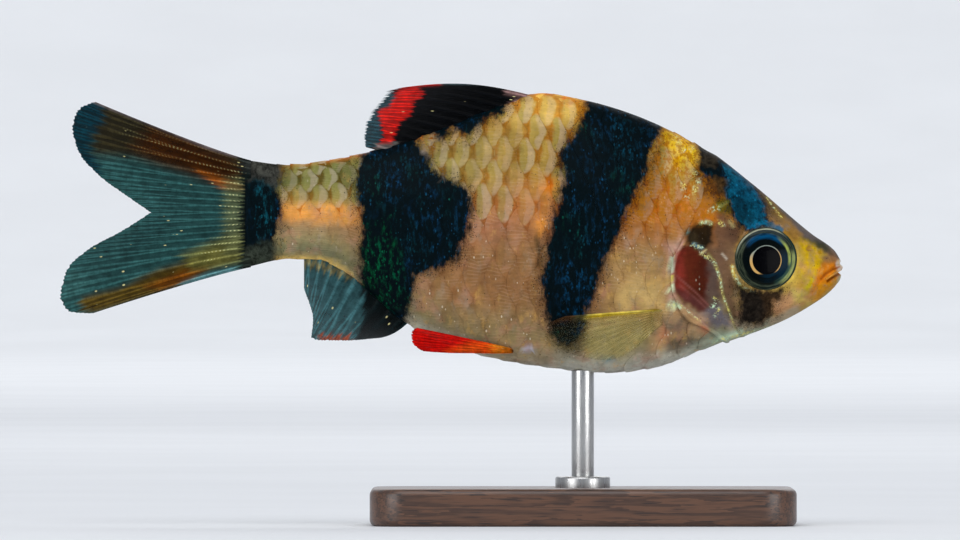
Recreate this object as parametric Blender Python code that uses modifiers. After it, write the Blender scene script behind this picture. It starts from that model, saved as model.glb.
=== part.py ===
"""A tiger barb, life size, as a still museum model held over a flat base by one rod.

The fish faces +X with its back up, so the side that shows is its right side, at -Y.
The origin is the middle of the model's underside, and lengths are in millimetres until
a mesh is made.
"""

import math

import bmesh
import bpy
import numpy as np

MM = 0.001
GAP = 0.3
SHARP_ANGLE = 40
WELD = 0.01

# The body from the side: heights of the back and the belly along the length
SNOUT_X, NOSE = 31.2, (31.32, 0.0, 20.6)
BACK_LINE = (
    (-16.5, 29.3), (-13.0, 28.9), (-10.5, 29.15), (-5.7, 30.15), (-2.5, 31.2), (3.9, 33.7), (7.2, 34.65),
    (10.6, 34.1), (14.4, 33.0), (20.2, 30.2), (24.0, 27.35), (28.8, 23.3), (30.6, 22.0), (31.2, 21.05),
)
BELLY_LINE = (
    (-16.5, 20.5), (-12.9, 21.2), (-10.5, 21.05), (-8.9, 20.35), (-4.1, 16.4), (-0.9, 14.6), (2.3, 13.5),
    (7.2, 12.6), (12.5, 12.1), (16.4, 12.55), (20.2, 14.0), (26.0, 16.1), (28.8, 17.6), (30.6, 19.0),
    (31.2, 20.1),
)
HALF_WIDTH = (
    (-16.5, 0.85), (-12.5, 1.4), (-8.0, 2.1), (-2.0, 3.1), (4.0, 3.9), (12.0, 4.3), (18.0, 4.15),
    (23.0, 3.6), (27.0, 2.7), (29.5, 1.75), (30.7, 1.1), (31.2, 0.45),
)
WIDEST_SHARE = 0.46
BACK_ROUNDNESS, BELLY_ROUNDNESS = 1.16, 0.94

# Where the body is parted: the gill opening, by share of the height, and the root of the tail
GILL_OPENING = ((0.0, 21.9), (0.1, 20.5), (0.2, 18.5), (0.38, 17.5), (0.6, 18.8), (0.8, 20.3), (1, 20.9))
TAIL_ROOT_X, TAIL_END_X = -12.2, -16.5

# The head's own parts
EYE_X, EYE_Y, EYE_Z = 25.1, 2.3, 21.2
EYE_RADIUS, EYE_HALF_DEPTH, EYE_FULLNESS = 2.6, 1.5, 2.6
EYE_RIM_HEIGHT, EYE_RIM_SPREAD = 0.16, 0.35
ROUND, SMALL_BALL = 2.0, (10, 6)
GILL_COVER_THICKNESS, GILL_COVER_RISE = 0.9, 0.2
COVER_REACH, COVER_CORE_X, COVER_REAR_X, CORE_OVERRUN = 8.0, 25.0, 14.0, 3.0
COVER_TOP, COVER_TOP_FADE, CHEEK_STEP, CHEEK_STEP_SPREAD = 25.2, 1.5, 0.6, 1.5
CHEEK_EDGE = ((19.9, 25.0), (20.6, 22.4), (21.3, 20.2), (21.9, 17.9), (22.3, 15.9), (22.1, 14.6), (21.3, 12))
MOUTH_FRONT, MOUTH_CORNER = (31.6, 20.55), (29.9, 19.75)
MOUTH_HALF_WIDTH, MOUTH_GAPE, MOUTH_DROP = 1.5, 0.34, 0.35
LIP_HEIGHT, LIP_OFFSET, LIP_SPREAD, LIP_LENGTH, LIP_FADE = 0.2, 0.42, 0.22, 1.3, 0.6
NOSTRILS = ((28.55, 22.15, 0.36), (29.35, 21.85, 0.26))
NOSTRIL_DEPTH, NOSTRIL_HEIGHT, NOSTRIL_STANDS_OUT = 0.3, 0.8, 0.05

# The mesh of each length of the body: rows along it and points round it
HEAD_GRID, CORE_GRID, TRUNK_GRID, TAIL_ROOT_GRID = (32, 52), (14, 40), (26, 36), (6, 28)
SNOUT_CROWDING = 1.3
MOUTH_COLUMNS = 9

# Fins: the membrane's thickness, and how far each ray stands out of it on either side
MEMBRANE, RAY_RISE = 0.5, 0.13
# Each fin's rays run from its root to its margin, and both lines start at the leading ray
DORSAL_ROOT_X, DORSAL_RAYS, DORSAL_BOW = (7.1, -5.3), 11, 0.4
DORSAL_MARGIN = ((-4.4, 34.95), (-5.1, 34.5), (-6.0, 33.3), (-6.7, 32.3), (-6.95, 31.2), (-6.9, 30.25))
ANAL_ROOT_X, ANAL_RAYS, ANAL_BOW = (-3.3, -11.8), 9, -0.25
ANAL_MARGIN = ((-5.7, 14.96), (-8.6, 14.72), (-10.5, 14.72), (-11.25, 14.95), (-11.1, 16.4), (-11.8, 18.9))
TAIL_FORK_X, TAIL_FORK_Z, TAIL_LOBE_RAYS = -24.1, 25.0, 9
TAIL_UPPER_MARGIN = ((-28.6, 33.9), (-30.0, 33.2), (-30.4, 31.9), (-30.1, 30.3), (-28.2, 27.9), (-26.3, 26.5))
TAIL_LOWER_MARGIN = ((-28.8, 16.9), (-30.6, 17), (-31.4, 18.1), (-31, 20.1), (-29.2, 22), (-26.5, 23.5))
CHEST_ROOT, CHEST_RAYS, CHEST_FLARE = ((16.2, 17.3), (16.2, 16.1)), 10, 0.2
CHEST_MARGIN = ((9.0, 16.7), (7.5, 15.9), (8.0, 14.7), (9.9, 13.6), (12.3, 13.2), (14.3, 13.9), (15.4, 15))
BELLY_ROOT, BELLY_RAYS, BELLY_FLARE = ((4.4, 14.4), (4.4, 13.7)), 7, 0.1
BELLY_MARGIN = ((-2.9, 15.8), (-3.25, 15.3), (-3.2, 14.8), (-2.9, 14.3), (-2.3, 13.95), (-0.2, 13.8))
STEEPEST_LEAN = 0.4
TAIL_ROOT_THICKNESS, PAIRED_ROOT_THICKNESS = 1.2, 0.8
PAIRED_TURN, PAIRED_STEP = 0.9, 0.45
BETWEEN_RAYS, EDGE_THINNING, RAY_FADE = 0.975, 0.7, 0.5
TAIL_FIN_ROWS, PAIRED_FIN_ROWS = 9, 6

# The stand
BASE_LENGTH, BASE_WIDTH, BASE_HEIGHT, BASE_CORNER, BASE_BEVEL = 34.0, 21.0, 3.0, 3.0, 0.5
ROD_X, ROD_RADIUS, ROD_BEVEL = 10.5, 0.9, 0.2
COLLAR_RADIUS, COLLAR_HEIGHT, COLLAR_FILLET = 2.2, 0.9, 0.3
CORNER_SEGMENTS, EDGE_SEGMENTS, EDGE_ANGLE, ROD_SIDES = 5, 2, 50, 24


def smooth_curve(points):
    """A function through the points that has no bumps between them (a monotone cubic)."""
    x, y = np.array(points, float).T
    step, slope = np.diff(x), np.diff(y) / np.diff(x)
    tangent = np.empty_like(y)
    tangent[0], tangent[-1] = slope[0], slope[-1]
    for i in range(1, len(x) - 1):
        before, after = slope[i - 1], slope[i]
        same_way = before * after > 0
        tangent[i] = 2 * before * after / (before + after) if same_way else 0.0

    def value(at):
        i = int(np.clip(np.searchsorted(x, at) - 1, 0, len(x) - 2))
        t = float(np.clip((at - x[i]) / step[i], 0.0, 1.0))
        return (
            y[i] * (1 + 2 * t) * (1 - t) ** 2
            + tangent[i] * step[i] * t * (1 - t) ** 2
            + y[i + 1] * t * t * (3 - 2 * t)
            + tangent[i + 1] * step[i] * t * t * (t - 1)
        )

    return value


back, belly, half_width = (smooth_curve(line) for line in (BACK_LINE, BELLY_LINE, HALF_WIDTH))
gill_opening = smooth_curve(GILL_OPENING)


def bump(distance, spread):
    return math.exp(-((distance / spread) ** 2))


def smooth_step(t):
    t = min(1.0, max(0.0, t))
    return t * t * (3 - 2 * t)


def head_relief(x, z):
    """How far the head's surface stands out: the eye's rim, the gill cover and the lips."""
    rim = EYE_RIM_HEIGHT * bump(math.hypot(x - EYE_X, z - EYE_Z) - EYE_RADIUS - GAP, EYE_RIM_SPREAD)
    low_enough = smooth_step((COVER_TOP - z) / COVER_TOP_FADE)
    behind_cheek = smooth_step((CHEEK_EDGE[2][0] + CHEEK_STEP - x) / CHEEK_STEP_SPREAD)
    cover = GILL_COVER_RISE * behind_cheek * low_enough
    along = (MOUTH_FRONT[0] - MOUTH_CORNER[0], MOUTH_FRONT[1] - MOUTH_CORNER[1])
    length = math.hypot(*along)
    across = ((z - MOUTH_CORNER[1]) * along[0] - (x - MOUTH_CORNER[0]) * along[1]) / length
    behind = max(0.0, MOUTH_CORNER[0] - x) / LIP_LENGTH
    lips = LIP_HEIGHT * bump(abs(across) - LIP_OFFSET, LIP_SPREAD) * bump(behind, LIP_FADE)
    return rim + cover + lips


def body_point(x, angle, shrink=0.0, relief=None):
    """A point on the body: angle runs round the section, from -90 degrees at the belly."""
    low, high = belly(x) + shrink, back(x) - shrink
    wide = max(0.05, half_width(x) - shrink)
    middle = low + WIDEST_SHARE * (high - low)
    side, up = math.cos(angle), math.sin(angle)
    roundness = BACK_ROUNDNESS if up > 0 else BELLY_ROUNDNESS
    reach = high - middle if up > 0 else middle - low
    y = wide * math.copysign(abs(side) ** roundness, side)
    z = middle + reach * math.copysign(abs(up) ** roundness, up)
    if relief:
        out = relief(x, z)
        y += out * side
        z += out * up
    return x, y, z


def flank(x, z):
    """Half the body's width at a place seen from the side."""
    middle = belly(x) + WIDEST_SHARE * (back(x) - belly(x))
    above = z > middle
    reach = back(x) - middle if above else middle - belly(x)
    roundness = BACK_ROUNDNESS if above else BELLY_ROUNDNESS
    up = min(1.0, abs(z - middle) / reach) ** (1 / roundness)
    return half_width(x) * (1 - up * up) ** (roundness / 2)


def ring_angles(count):
    return [-math.pi / 2 + 2 * math.pi * k / count for k in range(count)]


def height_share(angle):
    """Where an angle of the section stands between the belly, 0, and the back, 1."""
    up = math.sin(angle)
    return WIDEST_SHARE + (1 - WIDEST_SHARE if up > 0 else WIDEST_SHARE) * up


def paint(name, colour, roughness, metallic=0.0):
    """A plain finish for a sub-part."""
    material = bpy.data.materials.new(name)
    material.use_nodes = True
    shader = material.node_tree.nodes["Principled BSDF"]
    shader.inputs["Base Color"].default_value = (*colour, 1.0)
    shader.inputs["Roughness"].default_value = roughness
    shader.inputs["Metallic"].default_value = metallic
    return material


def finished_mesh(name, work, material, home):
    """Turns a bmesh into a smooth-shaded object in its collection."""
    mesh = bpy.data.meshes.new(name)
    work.to_mesh(mesh)
    work.free()
    mesh.shade_smooth()
    mesh.set_sharp_from_angle(angle=math.radians(SHARP_ANGLE))
    if material:
        mesh.materials.append(material)
    made = bpy.data.objects.new(name, mesh)
    home.objects.link(made)
    return made


def mesh_object(name, points, faces, material, home):
    """A closed mesh from points in millimetres, with its faces turned outwards."""
    mesh = bpy.data.meshes.new(name)
    mesh.from_pydata([tuple(c * MM for c in p) for p in points], [], faces)
    work = bmesh.new()
    work.from_mesh(mesh)
    bpy.data.meshes.remove(mesh)
    bmesh.ops.recalc_face_normals(work, faces=work.faces)
    return finished_mesh(name, work, material, home)


def loft(name, rings, material, home, nose=None):
    """A solid through rings of points, closed by flat strips or, in front, by a single point."""
    count = len(rings[0])
    points = [p for ring in rings for p in ring]
    faces = []
    for r in range(len(rings) - 1):
        for k in range(count):
            a, b = r * count + k, r * count + (k + 1) % count
            faces.append((a, b, b + count, a + count))
    ends = [(len(rings) - 1) * count]
    if nose is None:
        ends.append(0)
    else:
        points.append(nose)
        faces += [(k, (k + 1) % count, len(points) - 1) for k in range(count)]
    for start in ends:
        for k in range(count // 2):
            strip = [k, k + 1, (count - k - 1) % count, (count - k) % count]
            faces.append([start + i for i in dict.fromkeys(strip)])
    return mesh_object(name, points, faces, material, home)


def body_length(name, front, rear, grid, material, home, relief=None, shrink=0.0, nose=None):
    """A length of the body between two lines, each a function of the height's share.

    With a nose to close it in front, its rows stand closer together there.
    """
    rows, around = grid
    crowding = SNOUT_CROWDING if nose else 1.0
    rings = []
    for r in range(rows + 1):
        share = (r / rows) ** crowding
        ring = []
        for angle in ring_angles(around):
            level = height_share(angle)
            x = front(level) + (rear(level) - front(level)) * share
            ring.append(body_point(x, angle, shrink, relief))
        rings.append(ring)
    return loft(name, rings, material, home, nose)


def boolean(target, operation, other):
    """Cuts or intersects a solid with another, which is then removed."""
    modifier = target.modifiers.new(operation.title(), "BOOLEAN")
    modifier.operation = operation
    modifier.object = other
    bpy.context.view_layer.update()
    seen = target.evaluated_get(bpy.context.evaluated_depsgraph_get())
    target.data = bpy.data.meshes.new_from_object(seen)
    target.modifiers.clear()
    bpy.data.objects.remove(other)


def keep_largest(target):
    """Leaves only the largest of the closed surfaces that a cut has left."""
    work = bmesh.new()
    work.from_mesh(target.data)
    left, groups = set(work.verts), []
    while left:
        group, edge = set(), [left.pop()]
        while edge:
            vertex = edge.pop()
            group.add(vertex)
            near = {e.other_vert(vertex) for e in vertex.link_edges} & left
            left -= near
            edge += near
        groups.append(group)
    groups.sort(key=len)
    bmesh.ops.delete(work, geom=[v for group in groups[:-1] for v in group], context="VERTS")
    work.to_mesh(target.data)
    work.free()


def block(name, outline, inner_y, outer_y, home):
    """A block drawn as an outline seen from the side and extruded away from the middle."""
    work = bmesh.new()
    drawn = work.faces.new([work.verts.new((x * MM, inner_y * MM, z * MM)) for x, z in outline])
    grown = bmesh.ops.extrude_face_region(work, geom=[drawn], use_keep_orig=True)
    moved = [part for part in grown["geom"] if isinstance(part, bmesh.types.BMVert)]
    bmesh.ops.translate(work, verts=moved, vec=(0.0, (outer_y - inner_y) * MM, 0.0))
    bmesh.ops.recalc_face_normals(work, faces=work.faces)
    return finished_mesh(name, work, None, home)


def ball(name, place, radii, fullness, material, home, segments=24, rings=12):
    """A flattened ball with its poles to left and right; a fullness above 2 squares its edge."""
    bpy.ops.mesh.primitive_uv_sphere_add(segments=segments, ring_count=rings, radius=1.0)
    made = bpy.context.object
    made.name = made.data.name = name
    for vertex in made.data.vertices:
        x, y, z = vertex.co
        size = (math.hypot(x, y) ** fullness + abs(z) ** fullness) ** (1 / fullness)
        vertex.co = [(c + r * v / size) * MM for c, r, v in zip(place, radii, (x, -z, y))]
    made.data.shade_smooth()
    if material:
        made.data.materials.append(material)
    bring_home(made, home)
    return made


def bring_home(made, home):
    """Moves an object that an operator has made into its own collection."""
    for holder in list(made.users_collection):
        holder.objects.unlink(made)
    home.objects.link(made)


def cover_outline(grow):
    """The gill cover's outline: the cheek's edge in front, open behind the head's end."""
    front = [(x + grow, z) for x, z in CHEEK_EDGE]
    (top_x, top_z), (_, foot_z) = front[0], front[-1]
    front[0] = (top_x, top_z + grow)
    return [*front, (COVER_REAR_X, foot_z), (COVER_REAR_X, top_z + grow)]


def mouth_slit(home):
    """A wedge for the mouth: open at the lips, closed at the corners, lower at the sides."""
    points, faces, columns = [], [], MOUTH_COLUMNS
    for k in range(columns):
        y = MOUTH_HALF_WIDTH * (2 * k / (columns - 1) - 1)
        drop = MOUTH_DROP * (y / MOUTH_HALF_WIDTH) ** 2
        corner_x, corner_z = MOUTH_CORNER
        front_x, front_z = MOUTH_FRONT
        points.append((corner_x, y, corner_z - drop))
        points += [(front_x, y, front_z + lip - drop) for lip in (MOUTH_GAPE / 2, -MOUTH_GAPE / 2)]
    for k in range(columns - 1):
        a, b = 3 * k, 3 * k + 3
        faces += [(a + i, a + (i + 1) % 3, b + (i + 1) % 3, b + i) for i in range(3)]
    faces += [(0, 1, 2), tuple(3 * (columns - 1) + i for i in range(3))]
    return mesh_object("mouth_slit", points, faces, None, home)


def build_head(fish, tools):
    """The head, with the mouth, nostrils and eye sockets cut in it, and its two gill covers."""
    skin = paint("head_skin", (0.62, 0.46, 0.16), 0.4)
    cover_skin = paint("gill_cover_skin", (0.45, 0.22, 0.16), 0.35)

    def snout(level):
        return SNOUT_X

    def cheek(level):
        return COVER_CORE_X

    head = body_length("head", snout, gill_opening, HEAD_GRID, skin, fish, head_relief, nose=NOSE)
    for name, side in (("gill_cover_left", 1), ("gill_cover_right", -1)):
        outer = block("cover_block", cover_outline(0.0), GAP / 2 * side, COVER_REACH * side, tools)
        core = body_length("core", cheek, gill_behind, CORE_GRID, None, tools, shrink=GILL_COVER_THICKNESS)
        cover = head.copy()
        cover.data = head.data.copy()
        cover.name = cover.data.name = name
        fish.objects.link(cover)
        boolean(cover, "INTERSECT", outer)
        boolean(cover, "DIFFERENCE", core)
        keep_largest(cover)
        cover.data.materials.clear()
        cover.data.materials.append(cover_skin)
    for side in (1, -1):
        pocket = block("cover_pocket", cover_outline(GAP), -GAP / 2 * side, COVER_REACH * side, tools)
        deep = GILL_COVER_THICKNESS + GAP
        core = body_length("core", cheek, gill_behind, CORE_GRID, None, tools, shrink=deep)
        boolean(pocket, "DIFFERENCE", core)
        boolean(head, "DIFFERENCE", pocket)
        radii = [EYE_RADIUS + GAP, EYE_HALF_DEPTH + GAP, EYE_RADIUS + GAP]
        place = (EYE_X, side * EYE_Y, EYE_Z)
        boolean(head, "DIFFERENCE", ball("socket", place, radii, EYE_FULLNESS, None, tools))
        for x, z, radius in NOSTRILS:
            place = (x, side * (flank(x, z) + NOSTRIL_STANDS_OUT), z)
            radii = (radius, NOSTRIL_DEPTH, radius * NOSTRIL_HEIGHT)
            pit = ball("nostril", place, radii, ROUND, None, tools, *SMALL_BALL)
            boolean(head, "DIFFERENCE", pit)
    boolean(head, "DIFFERENCE", mouth_slit(tools))
    keep_largest(head)


def gill_behind(level):
    """A line well behind the gill opening."""
    return gill_opening(level) - CORE_OVERRUN


def build_eyes(fish):
    eye = paint("eye_ball", (0.02, 0.04, 0.05), 0.08)
    radii = (EYE_RADIUS, EYE_HALF_DEPTH, EYE_RADIUS)
    for name, side in (("eye_left", 1), ("eye_right", -1)):
        ball(name, (EYE_X, side * EYE_Y, EYE_Z), radii, EYE_FULLNESS, eye, fish)


def build_trunk(fish):
    """The body from the gill opening to the root of the tail, and the tail's muscular root."""
    skin = paint("body_skin", (0.55, 0.4, 0.22), 0.4)

    def behind_gills(level):
        return gill_opening(level) - GAP

    def tail_root_front(level):
        return TAIL_ROOT_X + GAP

    def tail_root_start(level):
        return TAIL_ROOT_X

    def tail_root_end(level):
        return TAIL_END_X

    body_length("trunk", behind_gills, tail_root_front, TRUNK_GRID, skin, fish)
    body_length("tail_root", tail_root_start, tail_root_end, TAIL_ROOT_GRID, skin, fish)


def chain(points):
    """A smooth path through points, by share of its length."""
    points = np.array(points, float)
    length = np.concatenate([[0.0], np.cumsum(np.linalg.norm(np.diff(points, axis=0), axis=1))])
    length /= length[-1]
    curves = [smooth_curve(list(zip(length, column))) for column in points.T]
    return lambda share: np.array([curve(share) for curve in curves])


def rayed_fin(name, root, margin, rays, material, home, place, rows=7, root_thickness=0.9, bow=0.0):
    """A fin as a fan of rays from its root line to its margin, each ray a ridge on both faces.

    root and margin are paths by share, seen from the side. bow lifts the middle of the leading
    rays. place turns x, z and a distance from the fin's middle sheet into a point.
    """
    columns = 2 * rays
    points = []
    for face in (1, -1):
        for c in range(columns + 1):
            share = c / columns
            on_ray = c % 2 == 1
            start, end = root(share), margin(share)
            for r in range(rows + 1):
                t = r / rows
                at = start + (end - start) * (t if on_ray or t < 1 else BETWEEN_RAYS)
                at[1] += bow * math.sin(math.pi * t) * (1 - share)
                half = MEMBRANE / 2 + (root_thickness - MEMBRANE) / 2 * (1 - t) ** 3
                half += RAY_RISE * (1 - RAY_FADE * t) if on_ray else 0.0
                points.append(place(at[0], at[1], face * half * (1.0 if t < 1 else EDGE_THINNING)))
    size = rows + 1
    other = (columns + 1) * size
    faces = []
    for c in range(columns):
        for r in range(rows):
            corner = c * size + r
            for triangle in ((0, size, size + 1), (0, size + 1, 1)):
                faces += [[start + corner + i for i in triangle] for start in (0, other)]
    rim = [c * size for c in range(columns + 1)]
    rim += [columns * size + r for r in range(1, size)]
    rim += [c * size + rows for c in range(columns - 1, -1, -1)]
    rim += range(rows - 1, 0, -1)
    faces += [(a, b, b + other, a + other) for a, b in zip(rim, rim[1:] + rim[:1])]
    return mesh_object(name, points, faces, material, home)


def upright(x, z, off):
    """A place on a fin that stands in the fish's middle plane."""
    return x, off, z


def beside_body(root, flare, side):
    """Places a paired fin: it leaves the flank square to it, and turns to lie back along it."""
    (x0, high), (_, low) = root
    lean = min(STEEPEST_LEAN, (flank(x0, high) - flank(x0, low)) / (high - low))
    middle = (high + low) / 2
    clear = max(flank(x0, z) - lean * (z - middle) for z in (low, middle, high)) + GAP

    def place(x, z, off):
        turn = 1 - min(1.0, (x0 - x) / PAIRED_TURN)
        out = clear + lean * (z - middle) + PAIRED_STEP * (1 - turn * turn) + flare * (x0 - x)
        turned = turn * math.pi / 2
        return x + off * math.sin(turned), side * (out + off * math.cos(turned)), z

    return place


def build_middle_fins(fish):
    """The fins in the fish's middle plane: the folded dorsal, the anal and the forked tail fin."""
    dark = paint("dorsal_fin_black_and_red", (0.35, 0.04, 0.03), 0.45)
    clear = paint("fin_blue_grey", (0.13, 0.24, 0.26), 0.4)
    amber = paint("tail_fin_amber", (0.3, 0.24, 0.12), 0.4)

    def on_back(share):
        x = DORSAL_ROOT_X[0] + (DORSAL_ROOT_X[1] - DORSAL_ROOT_X[0]) * share
        return np.array([x, back(x) + GAP])

    def under_belly(share):
        x = ANAL_ROOT_X[0] + (ANAL_ROOT_X[1] - ANAL_ROOT_X[0]) * share
        return np.array([x, belly(x) - GAP])

    rayed_fin(
        "dorsal_fin", on_back, chain(DORSAL_MARGIN), DORSAL_RAYS, dark, fish, upright, bow=DORSAL_BOW
    )
    rayed_fin("anal_fin", under_belly, chain(ANAL_MARGIN), ANAL_RAYS, clear, fish, upright, bow=ANAL_BOW)

    for name, margin, edge_z, side in (
        ("tail_fin_upper", TAIL_UPPER_MARGIN, back(TAIL_END_X), 1),
        ("tail_fin_lower", TAIL_LOWER_MARGIN, belly(TAIL_END_X), -1),
    ):
        between = side * GAP / 2
        fork = (TAIL_FORK_X, TAIL_FORK_Z + between)
        root = chain(((TAIL_END_X - GAP, edge_z), (TAIL_END_X - GAP, TAIL_FORK_Z + between)))
        rayed_fin(
            name, root, chain((*margin, fork)), TAIL_LOBE_RAYS, amber, fish, upright, TAIL_FIN_ROWS,
            TAIL_ROOT_THICKNESS,
        )


def build_paired_fins(fish):
    """The chest fins, fanned along the flanks, and the belly fins, folded under them."""
    yellow = paint("chest_fin_yellow", (0.5, 0.42, 0.12), 0.4)
    red = paint("belly_fin_red", (0.8, 0.03, 0.01), 0.4)
    for fin, root, margin, rays, flare, material in (
        ("chest_fin", CHEST_ROOT, CHEST_MARGIN, CHEST_RAYS, CHEST_FLARE, yellow),
        ("belly_fin", BELLY_ROOT, BELLY_MARGIN, BELLY_RAYS, BELLY_FLARE, red),
    ):
        for side_name, side in (("left", 1), ("right", -1)):
            place = beside_body(root, flare, side)
            name = f"{fin}_{side_name}"
            rayed_fin(
                name, chain(root), chain(margin), rays, material, fish, place, PAIRED_FIN_ROWS,
                PAIRED_ROOT_THICKNESS,
            )


def build_stand(fish):
    """The base, a block with rounded corners and edges, and the rod up to the belly."""
    wood = paint("stand_wood", (0.06, 0.03, 0.018), 0.35)
    steel = paint("stand_steel", (0.62, 0.6, 0.56), 0.25, 1.0)
    bpy.ops.mesh.primitive_cube_add(size=1.0, location=(ROD_X * MM, 0.0, BASE_HEIGHT / 2 * MM))
    base = bpy.context.object
    base.name = base.data.name = "stand_base"
    base.scale = (BASE_LENGTH * MM, BASE_WIDTH * MM, BASE_HEIGHT * MM)
    bpy.ops.object.transform_apply(location=False, rotation=False, scale=True)
    corners = base.modifiers.new("Corners", "BEVEL")
    corners.width, corners.segments = BASE_CORNER * MM, CORNER_SEGMENTS
    corners.limit_method = "WEIGHT"
    weights = base.data.attributes.new("bevel_weight_edge", "FLOAT", "EDGE")
    for edge in base.data.edges:
        a, b = (base.data.vertices[i].co for i in edge.vertices)
        weights.data[edge.index].value = 1.0 if abs(a.z - b.z) > BASE_HEIGHT / 2 * MM else 0.0
    edges = base.modifiers.new("Edges", "BEVEL")
    edges.width, edges.segments = BASE_BEVEL * MM, EDGE_SEGMENTS
    edges.limit_method, edges.angle_limit = "ANGLE", math.radians(EDGE_ANGLE)
    base.data.materials.append(wood)
    bring_home(base, fish)

    foot, top = BASE_HEIGHT + GAP, belly(ROD_X) - GAP
    collar = foot + COLLAR_HEIGHT
    profile = (
        (0.0, top), (ROD_RADIUS - ROD_BEVEL, top), (ROD_RADIUS, top - ROD_BEVEL),
        (ROD_RADIUS, collar + COLLAR_FILLET), (ROD_RADIUS + COLLAR_FILLET, collar),
        (COLLAR_RADIUS - ROD_BEVEL, collar), (COLLAR_RADIUS, collar - ROD_BEVEL),
        (COLLAR_RADIUS, foot), (0.0, foot),
    )
    mesh = bpy.data.meshes.new("stand_rod")
    steps = [(i, i + 1) for i in range(len(profile) - 1)]
    mesh.from_pydata([(r * MM, 0.0, z * MM) for r, z in profile], steps, [])
    mesh.materials.append(steel)
    rod = bpy.data.objects.new("stand_rod", mesh)
    rod.location.x = ROD_X * MM
    fish.objects.link(rod)
    turn = rod.modifiers.new("Turn", "SCREW")
    turn.steps = turn.render_steps = ROD_SIDES
    turn.use_merge_vertices = True
    turn.merge_threshold = WELD * MM


def main():
    for old in list(bpy.data.objects):
        bpy.data.objects.remove(old)
    fish = bpy.data.collections.new("tiger_barb")
    tools = bpy.data.collections.new("cutters")
    for collection in (fish, tools):
        bpy.context.scene.collection.children.link(collection)
    build_head(fish, tools)
    build_eyes(fish)
    build_trunk(fish)
    build_middle_fins(fish)
    build_paired_fins(fish)
    build_stand(fish)


main()
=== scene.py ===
import math

import bpy
import numpy as np
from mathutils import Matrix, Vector


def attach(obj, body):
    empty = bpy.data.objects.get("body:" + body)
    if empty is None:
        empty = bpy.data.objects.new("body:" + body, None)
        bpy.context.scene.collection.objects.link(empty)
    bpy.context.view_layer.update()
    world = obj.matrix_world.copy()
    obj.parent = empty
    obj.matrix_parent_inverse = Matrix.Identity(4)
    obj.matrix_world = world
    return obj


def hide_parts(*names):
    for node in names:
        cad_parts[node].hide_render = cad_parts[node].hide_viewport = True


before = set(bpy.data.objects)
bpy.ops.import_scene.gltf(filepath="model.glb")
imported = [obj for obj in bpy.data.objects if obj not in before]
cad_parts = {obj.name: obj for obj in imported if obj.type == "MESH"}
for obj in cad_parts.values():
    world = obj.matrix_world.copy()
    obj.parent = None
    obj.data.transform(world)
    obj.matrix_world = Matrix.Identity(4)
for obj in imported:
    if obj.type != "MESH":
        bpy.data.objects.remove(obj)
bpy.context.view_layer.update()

# The camera
# It looks level at the fish's right side, far enough off for the flat look of the picture,
# with the fish a little above the middle of the frame.
MM = 0.001
VIEW_X, VIEW_Z, VIEW_WIDTH, VIEW_DISTANCE = 2.28, 20.4, 76.8, 1500.0
SENSOR = 36.0
bpy.ops.object.camera_add(
    location=(VIEW_X * MM, -VIEW_DISTANCE * MM, VIEW_Z * MM), rotation=(math.pi / 2, 0.0, 0.0)
)
camera = bpy.context.object
camera.data.sensor_width = SENSOR
camera.data.lens = SENSOR * VIEW_DISTANCE / VIEW_WIDTH
bpy.context.scene.camera = camera
bpy.context.scene.view_settings.view_transform = "Standard"

# The room
# A pale floor that turns up into a round wall far off, so that no horizon shows, under
# large soft lamps: one above and in front, one low on either side, one behind, and one that
# lights the wall.
FLOOR_RADIUS, WALL_BEND, WALL_STEPS, WALL_HEIGHT = 3.2, 1.2, 16, 1.0
FLOOR_TONE, FLOOR_SHADE = (0.78, 0.79, 0.8, 1.0), 0.97
AIR_TONE, AIR_STRENGTH = (0.85, 0.9, 1.0, 1.0), 0.55
# Each lamp: its name, place, width, the place it faces, and its power
LAMPS = (
    ("lamp_above", (-0.1, -0.56, 0.66), 0.7, (0.0, 0.0, 0.02), 3.2),
    ("lamp_right", (0.7, -0.66, 0.08), 0.5, (0.0, 0.0, 0.02), 3.4),
    ("lamp_left", (-0.7, -0.66, 0.08), 0.5, (0.0, 0.0, 0.02), 3.4),
    ("lamp_behind", (0.1, 0.7, 0.55), 0.6, (0.0, 0.0, 0.02), 1.0),
    ("lamp_wall", (0.0, 2.4, 1.7), 3.0, (0.0, 3.0, 0.0), 34.0),
)
bpy.ops.object.select_all(action="DESELECT")
bpy.ops.mesh.primitive_circle_add(vertices=96, radius=FLOOR_RADIUS, fill_type="NGON")
floor = bpy.context.object
floor.name = floor.data.name = "floor"
bpy.ops.object.mode_set(mode="EDIT")
bpy.ops.mesh.select_mode(type="EDGE")
bpy.ops.mesh.select_all(action="SELECT")
bpy.ops.mesh.region_to_loop()
radius, height = FLOOR_RADIUS, 0.0
for step in range(1, WALL_STEPS + 1):
    bend = math.pi / 2 * step / WALL_STEPS
    wider, higher = FLOOR_RADIUS + WALL_BEND * math.sin(bend), WALL_BEND * (1 - math.cos(bend))
    bpy.ops.mesh.extrude_edges_move(TRANSFORM_OT_translate={"value": (0.0, 0.0, higher - height)})
    bpy.ops.transform.resize(value=(wider / radius, wider / radius, 1.0))
    radius, height = wider, higher
bpy.ops.mesh.extrude_edges_move(TRANSFORM_OT_translate={"value": (0.0, 0.0, WALL_HEIGHT)})
bpy.ops.object.mode_set(mode="OBJECT")
floor.data.shade_smooth()


def node(tree, kind, inputs=None, **settings):
    """Adds a node, sets it up, and links or sets its inputs, given by name or number."""
    made = tree.nodes.new("ShaderNode" + kind)
    for name, value in settings.items():
        setattr(made, name, value)
    for name, value in (inputs or {}).items():
        if isinstance(value, bpy.types.NodeSocket):
            tree.links.new(value, made.inputs[name])
        else:
            made.inputs[name].default_value = value
    return made


def maths(tree, operation, *values):
    """One step of arithmetic."""
    return node(tree, "Math", dict(enumerate(values)), operation=operation).outputs[0]


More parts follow.
